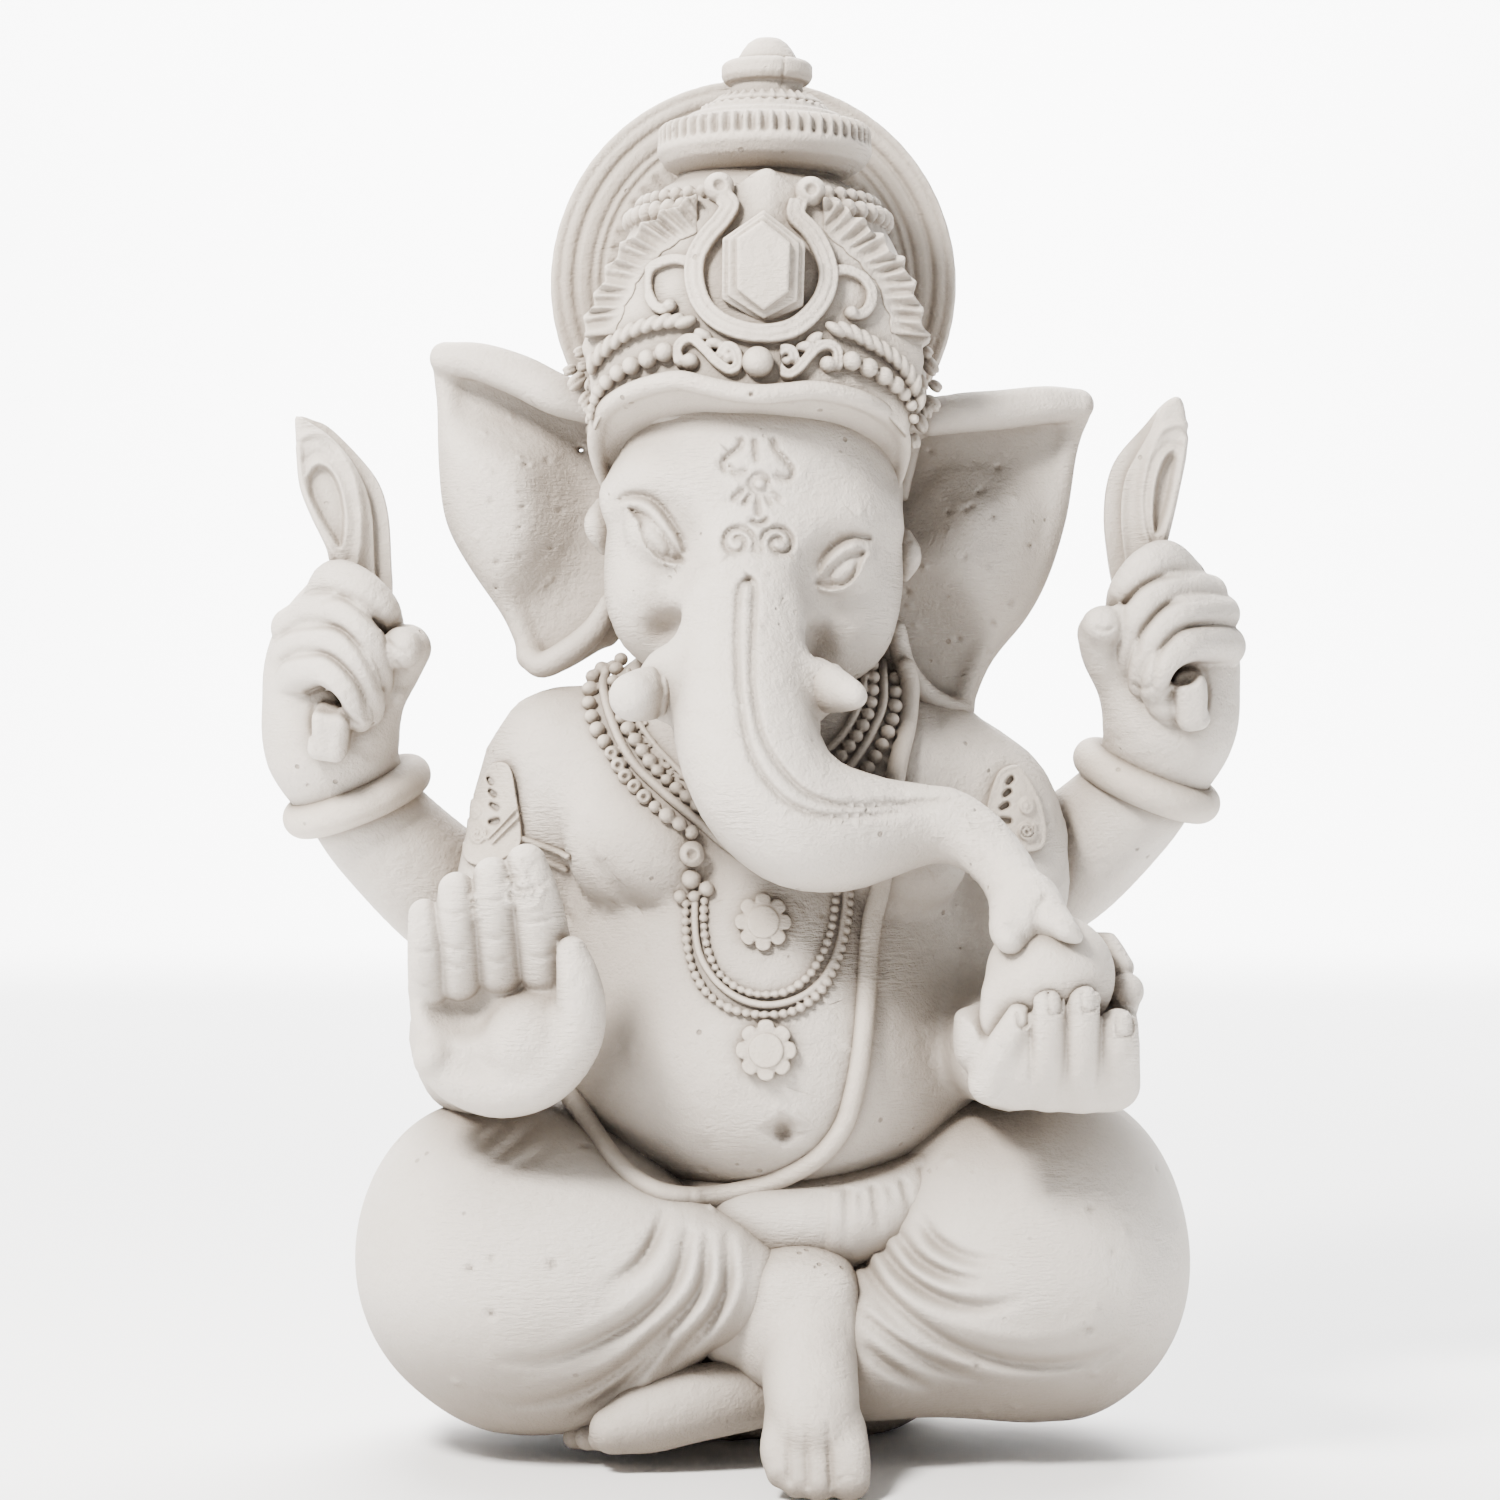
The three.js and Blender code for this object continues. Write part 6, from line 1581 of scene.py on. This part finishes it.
def collars():
    front = FRONTS["torso"]
    rng = np.random.default_rng(3)
    behind = FRONTS["torso_back"]
    outer_bead, inner_bead, lift = 1.5, 1.38, 0.8
    nape_outer = [(-29, 146), (-25, 141.5), (-18, 137.5), (-9, 135.5), (-0.5, 135)]
    nape_inner = [(-26, 150), (-22, 146), (-16, 143), (-8, 141), (-0.5, 140.5)]
    clay = Clay((-40, -40, 104), (2, 44, 158), 0.38)
    bead_run(clay, behind, nape_outer, outer_bead, lift, rng=rng, rough=0.06)
    bead_run(clay, behind, nape_inner, inner_bead, lift, rng=rng, rough=0.06)
    outer = [(-33.2, 152.3), (-34.7, 149.9), (-35.2, 147.1), (-35.1, 144.1), (-34, 140.9), (-32.3, 138),
             (-30.6, 135.6), (-29.4, 133.5), (-28.3, 131.5), (-27, 129.6), (-25.1, 127.7), (-23.6, 126.2),
             (-21.8, 124.6), (-19.4, 122.9), (-17.1, 121.4), (-15, 120.1)]
    bead_run(clay, front, outer, outer_bead, lift, drilled=(7, 8, 9, 10, 11, 17, 18), rng=rng, rough=0.06)
    string(clay, front, [(-31, 153.1), (-32.4, 149.1), (-31.7, 144.8), (-30.1, 140.3), (-28.2, 136.4),
                         (-25, 131.7), (-20.9, 127.7), (-16.3, 123.9), (-10.7, 119.5), (-5.4, 115.7)],
                         0.95, 0.7)
    clay.piece("collar_outer_right_plaster", JEWEL, ["collar_beads_outer_right"])
    clay = Clay((-36, -40, 112), (-2, 10, 156), 0.36)
    inner = [(-29, 153.9), (-30.1, 150.2), (-29.9, 146), (-28.6, 142.1), (-26.9, 139.3), (-25.3, 136.8),
             (-23.5, 134.3), (-21.5, 131.7), (-18.7, 128.7), (-16, 126.6), (-13.1, 124.1), (-10, 121.6)]
    bead_run(clay, front, inner, inner_bead, lift, rng=rng, rough=0.1)
    string(clay, front, [(-27.3, 151.4), (-27.3, 145.8), (-25, 140.9), (-21.6, 136.4), (-17.6, 132.3),
                         (-14.7, 129.1), (-10.8, 125.8)], 0.6, 0.5)
    # rough casting crumbs between the strings
    crumbs = 90
    line = smooth_line([(-27.9, 144.7), (-24.8, 138.7), (-20.6, 133.7), (-15.8, 129.2)], 10)
    for _ in range(crumbs):
        share = rng.random()
        x, z = line[int(share * (len(line) - 1))] + rng.normal(0, 0.7, 2)
        clay.add(ball(front.lay([(x, z)], 0.3)[0], rng.uniform(0.3, 0.55)), 0.2)
    clay.piece("collar_inner_right_plaster", JEWEL, ["collar_beads_inner_right"])

    clay = Clay((-1, -40, 104), (38, 44, 158), 0.38)
    bead_run(clay, behind, [(-2 - x, z) for x, z in nape_outer], outer_bead, lift, rng=rng, rough=0.06)
    bead_run(clay, behind, [(-2 - x, z) for x, z in nape_inner], inner_bead, lift, rng=rng, rough=0.06)
    outer = [(24.3, 152.3), (24.6, 149.5), (24.5, 146.7), (24.3, 143.7), (23.4, 140.3), (22.2, 137.8),
             (21.3, 135.8), (20.1, 133.9), (18.9, 132.1), (16.3, 129), (13, 125.9), (9.1, 122.9)]
    bead_run(clay, front, outer, outer_bead, lift, drilled=(10,), rng=rng, rough=0.03)
    string(clay, front, [(22.3, 153.1), (22.3, 149.1), (22.1, 144.9), (20.4, 140.3), (17.9, 135.8),
                         (14.8, 131.7), (10.1, 127.5)], 0.9, 0.7)
    clay.piece("collar_outer_left_plaster", JEWEL, ["collar_beads_outer_left"])
    clay = Clay((4, -40, 108), (34, 12, 156), 0.36)
    inner = [(20.1, 152.3), (20.1, 148.5), (19.7, 145.5), (19, 142.7), (17.6, 139.7), (16, 137.4),
             (14.6, 135.4), (13.2, 133.9), (11.6, 132.1), (8.5, 129.4)]
    bead_run(clay, front, inner, 1.35, 0.8, rng=rng, rough=0.03)
    string(clay, front, [(18.4, 152.9), (18.4, 149.8), (17.3, 144.4), (14, 138.5), (9.7, 134.4)], 0.8,
           0.7)
    clay.piece("collar_inner_left_plaster", JEWEL, ["collar_beads_inner_left"])

    # the drop between collar and chains
    clay = Clay((-22, -46, 98), (-8, -18, 122), 0.3)
    big = front.lay([(-15.1, 116.1)], 1.2)[0]
    clay.add(ball(big, (2.5, 2.1, 2.5)), 0.2)
    clay.cut(ball(big + (0, -2.2, 0), (1.15, 1.2, 1.15)), 0.2)
    clay.add(hoop(big + (0, -1.3, 0), (0, 1, 0), 1.25, 0.38), 0.2)
    for spot, size in (((-14.9, 111.3), 1.9), ((-16.7, 107.9), 1.35), ((-14, 107.7), 1.2),
                       ((-11.7, 109.2), 1.5), ((-15.1, 119.7), 1.2)):
        clay.add(ball(front.lay([spot], 0.8)[0], size), 0.15)
    clay.cast("collar_drop", JEWEL)


def chest_chains():
    front = FRONTS["torso"]
    rng = np.random.default_rng(5)
    clay = Clay((-20, -52, 78), (20, -18, 112), 0.33)
    bead_run(clay, front, [(-15.6, 106.5), (-15.7, 102.8), (-15.4, 98.7), (-14.6, 95.2), (-13.2, 92.1),
                           (-11.3, 89.7), (-8.3, 87.6), (-4.5, 86.4), (-0.6, 86), (3.4, 86.4), (7, 88),
                           (10, 90.7), (12.5, 94.7), (14.2, 99.6), (15.2, 104.5), (15.6, 109.5),
                           (15.6, 113.5)], 0.92, 0.5, rng=rng, rough=0.05)
    string(clay, front, [(-13.9, 107), (-13.8, 101.3), (-12.7, 96.3), (-9.9, 92.1), (-6, 89.2),
                         (-1.6, 87.9), (2.8, 88.2), (7.2, 90), (10.6, 93.2), (12.9, 98), (14.1, 103.9),
                         (14.6, 108.9), (14.7, 113.5)],
                         0.72, 0.5)
    clay.cast("chest_chain_outer", JEWEL)
    clay = Clay((-16, -50, 82), (18, -18, 112), 0.33)
    bead_run(clay, front, [(-12.2, 107), (-12.3, 103.3), (-11.9, 99.6), (-11, 96.5), (-9.6, 93.9),
                           (-7.7, 92.1), (-5.5, 90.7), (-2.8, 89.9), (-0.6, 89.7), (2.3, 90), (5.1, 91.2),
                           (7.7, 93.4), (9.4, 96), (10.9, 99.1), (11.9, 102.4), (12.6, 106.7),
                           (13, 110.3), (13, 113.5)], 0.86, 0.5, rng=rng, rough=0.06)
    clay.cast("chest_chain_inner", JEWEL)

    for name, centre, reach, disc in (("pendant_upper", (-1.1, 103.4), 5.4, 3.1),
                                      ("pendant_lower", (-0.6, 79.7), 5.7, 3.3)):
        clay = Clay((centre[0] - 8, -52, centre[1] - 8), (centre[0] + 8, -22, centre[1] + 8), 0.28)
        middle = front.lay([centre], 0.0)[0]

        def over(flat_of, lift, half):
            """A plate that follows the chest, so that the flower lies flat on it."""
            slope_x, slope_z = front.slopes(*centre, 4)

            def distance(x, y, z):
                u, w = x - centre[0], z - centre[1]
                level = y - (middle[1] + slope_x * u + slope_z * w) + lift
                return between(flat_of(u, w), level, half, 0.35)

            return (np.array([centre[0] - 7, middle[1] - 8, centre[1] - 7]),
                    np.array([centre[0] + 7, middle[1] + 8, centre[1] + 7]), distance)

        def flower(u, w):
            away = np.sqrt(u ** 2 + w ** 2)
            turn = np.arctan2(w, u) * 8 / (2 * math.pi) + 0.5
            petal = 1 - (np.abs(turn - np.floor(turn) - 0.5) * 2) ** 2.6
            return away - (reach - 1.15 + 1.15 * petal)

        clay.add(over(flower, 0.2, 1.3))
        clay.add(over(lambda u, w: np.sqrt(u ** 2 + w ** 2) - disc, 1.0, 1.0))
        rays = []
        for k in range(8):
            a = 2 * math.pi * (k + 0.5) / 8
            rays.append([(centre[0] + r * math.cos(a), centre[1] + r * math.sin(a)) for r in (disc + 0.7,
                    reach - 0.9)])
        clay.draw(rays, 0.3, 0.3, nearer_than=0)
        clay.cast(name, JEWEL)


def sacred_thread():
    front = Nearest(FRONTS["torso"], FRONTS["leg_right"])
    clay = Clay((-50, -52, 40), (34, 48, 158), 0.5)
    line = [(27.3, 152.4), (28, 149.5), (27.9, 145.9), (27.1, 140.3), (25.5, 134.6), (24.5, 130.2),
            (22.7, 120.6), (21.4, 110.6), (19.8, 103.9), (19, 97.9), (18.7, 93.1), (18.3, 87.5),
            (17.4, 79.2), (16, 71.5), (14, 64.8), (9.8, 59.2), (4, 55.3), (-2.5, 52.5), (-11, 51.1),
            (-18.2, 51.8), (-23.4, 53.7), (-28.5, 57.2), (-32.9, 61.9), (-36.5, 66.4), (-39.3, 69.7),
            (-41.6, 73.4)]
    radius, lift = 1.95, 0.85
    laid = front.lay(evenly(line, 1.1), lift)
    # the cord bridges the dips between belly and lap instead of following them
    depth = laid[:, 1]
    for reach in (12, 3):
        level = [depth[max(0, n - reach):n + reach + 1].mean() for n in range(len(depth))]
        depth = np.minimum(depth, level)
    laid[:, 1] = 0.5 * (depth + np.array(level))
    laid[:, [0, 2]] = evenly(line, 1.1)
    clay.add(rods(laid, radius), 0.3)
    behind = [(27, 151), (24, 138), (17, 118), (5, 96), (-9, 77), (-24, 62), (-38, 52), (-45, 49)]
    string(clay, FRONTS["torso_back"], behind, radius, lift, 0.3)
    clay.cast("sacred_thread", JEWEL)


def armlets():
    """Embossed plates on the upper arms, pierced by a row of drops; the right one has double straps."""
    front = FRONTS["torso"]
    arm_back = 10  # the marks stop at this y, behind the arm's own front
    plans = {
        "right": dict(
            leaf=[(-54.3, 133.2), (-51, 132.6), (-49.6, 126.1), (-48.7, 119.6), (-49.7, 116.3),
                  (-55, 113.7), (-59.5, 114.2), (-61.5, 118.5), (-59.9, 124.9), (-56.8, 130)],
            holes=[(-55, 129.9, 50, 2.2), (-54.5, 127.5, 40, 2.6), (-54.1, 124.9, 30, 2.8),
                   (-54.1, 121.9, -10, 3.2)],
            gem=(-58.3, 123.9), curl=(-57.6, 119.4),
            bands=[[(-55.3, 118.6), (-52.5, 121.4), (-49.8, 124.3)],
                   [(-54.3, 117.8), (-51.7, 120.4), (-49.4, 122.6)]],
            straps=[[(-49.1, 118.8), (-43.8, 117), (-38.5, 115.3)],
                    [(-48.1, 116.1), (-43.8, 114.2), (-39.5, 112.5)]],
            low=(-66, -34, 108), high=(-36, 8, 136)),
        "left": dict(
            leaf=[(49.5, 132.8), (46.1, 132), (44.4, 129.1), (43.1, 124.5), (43.1, 120.6), (45.8, 117.8),
                  (50.9, 116.2), (54.4, 117.7), (54.4, 123.1), (52.7, 128)],
            holes=[(47.6, 129.9, -50, 2.2), (47, 127.5, -40, 2.4), (46.4, 124.9, -30, 2.6),
                   (46.6, 122.1, 10, 3)],
            gem=(50.9, 124.9), curl=(50.8, 120.1),
            bands=[[(48.3, 117.8), (45.9, 120.6), (43.9, 123.7)],
                   [(47.1, 117.2), (45.1, 119.6), (43.5, 122)]],
            straps=[],
            low=(38, -20, 110), high=(60, 10, 136)),
    }
    for side, plan in plans.items():
        clay = Clay(plan["low"], plan["high"], 0.3)
        leaf = Outline(plan["leaf"], 4)
        clay.add(front.sheet(leaf, 1.2, 1.8))
        clay.curves([plan["leaf"] + plan["leaf"][:1]], 0.35, -0.35, nearer_than=arm_back)
        for x, z, tilt, size in plan["holes"]:
            run = heading(tilt) * size * 0.22
            clay.draw([[(x - run[0], z - run[1], 0.7), (x + run[0], z + run[1], 1.0)]], 0.5, 2.2,
                      nearer_than=arm_back)
        x, z = plan["gem"]
        clay.draw([arc((x, z), 1.3, 0, 360, 17)], 0.32, -0.6, nearer_than=arm_back)
        clay.draw([[(x - 0.05, z), (x + 0.05, z)]], 0.9, -1.0, nearer_than=arm_back)
        turns = spiral(plan["curl"], (0.3, 1.9), (0, 4.2 * math.pi), 30)
        clay.draw([turns], 0.3, -0.9, nearer_than=arm_back)
        clay.curves(plan["bands"], 0.35, -0.9, nearer_than=arm_back)
        for strap in plan["straps"]:
            string(clay, front, strap, 0.62, 0.35, 0.2)
        clay.cast(f"armlet_{side}", JEWEL)


PIECES = [torso, head, tusks, ears, rear_arms, bangles, rear_hand_right, rear_hand_left, emblems,
          blessing_hand, offering_hand, modak, leg_right, leg_left, waist, feet, crown_bell,
          leaf_borders, crown_frame, crown_strings, brow_band, crown_top, halo, collars,
          chest_chains, sacred_thread, armlets]


# --------------------------------------------------------------------------- stage and light
def paint(name, colour, roughness):
    material = bpy.data.materials.new(name)
    material.use_nodes = True
    bsdf = material.node_tree.nodes["Principled BSDF"]
    bsdf.inputs["Base Color"].default_value = (*colour, 1)
    bsdf.inputs["Roughness"].default_value = roughness
    return material


def sweep():
    """A pale floor that curves up into a pale wall behind the figure."""
    half, front, back, bend, top, steps = 7.0, -7.0, 2.6, 0.6, 3.0, 16
    below = 0.0002  # the floor lies this far under the figure, so that the two don't flicker
    line = [(front, 0.0), (back - bend, 0.0)]
    for i in range(1, steps + 1):
        a = math.pi / 2 * i / steps
        line.append((back - bend + bend * math.sin(a), bend - bend * math.cos(a)))
    line.append((back, top))
    points = [(x, y, z - below) for y, z in line for x in (-half, half)]
    faces = [(2 * i, 2 * i + 1, 2 * i + 3, 2 * i + 2) for i in range(len(line) - 1)]
    mesh = bpy.data.meshes.new("backdrop")
    mesh.from_pydata(points, [], faces)
    mesh.shade_smooth()
    mesh.materials.append(paint("backdrop_white", (0.80, 0.80, 0.80), 0.9))
    obj = bpy.data.objects.new("backdrop", mesh)
    bpy.context.scene.collection.objects.link(obj)


def area_light(name, place, target, size, power, colour=(1, 1, 1), spread=180):
    data = bpy.data.lights.new(name, "AREA")
    data.shape = "RECTANGLE"
    data.size, data.size_y = size
    data.energy = power
    data.color = colour
    data.spread = math.radians(spread)
    obj = bpy.data.objects.new(name, data)
    obj.location = place
    obj.rotation_euler = (Vector(target) - Vector(place)).to_track_quat("-Z", "Y").to_euler()
    bpy.context.scene.collection.objects.link(obj)


def lights():
    """A close soft key from the upper left, and washes that light only the floor and the wall."""
    area_light("key", place=(-0.37, -0.45, 0.68), target=(0.0, 0.0, 0.13), size=(0.18, 0.18),
               power=24.0, colour=(1.0, 0.955, 0.90))
    area_light("floor_wash", place=(0, 1.7, 2.2), target=(0, 0.9, 0), size=(2.6, 2.0), power=170.0,
               spread=108)
    area_light("wall_wash", place=(0, 1.0, 1.2), target=(0, 2.6, 0.8), size=(2.4, 0.8), power=190.0,
               spread=119)
    world = bpy.data.worlds.new("studio")
    world.use_nodes = True
    world.node_tree.nodes["Background"].inputs["Color"].default_value = (0.93, 0.96, 1.0, 1)
    world.node_tree.nodes["Background"].inputs["Strength"].default_value = 0.4
    bpy.context.scene.world = world


def camera():
    """A level camera in front of the figure; its place is in the figure's own millimetres."""
    data = bpy.data.cameras.new("camera")
    data.lens = 86.4
    data.sensor_width = 36.0
    obj = bpy.data.objects.new("camera", data)
    obj.location = (-3.6 * MM, -720 * MM, 136 * MM)
    obj.rotation_euler = (math.radians(90), 0, 0)
    bpy.context.scene.collection.objects.link(obj)
    bpy.context.scene.camera = obj


for build in PIECES:
    build()
sweep()
lights()
camera()
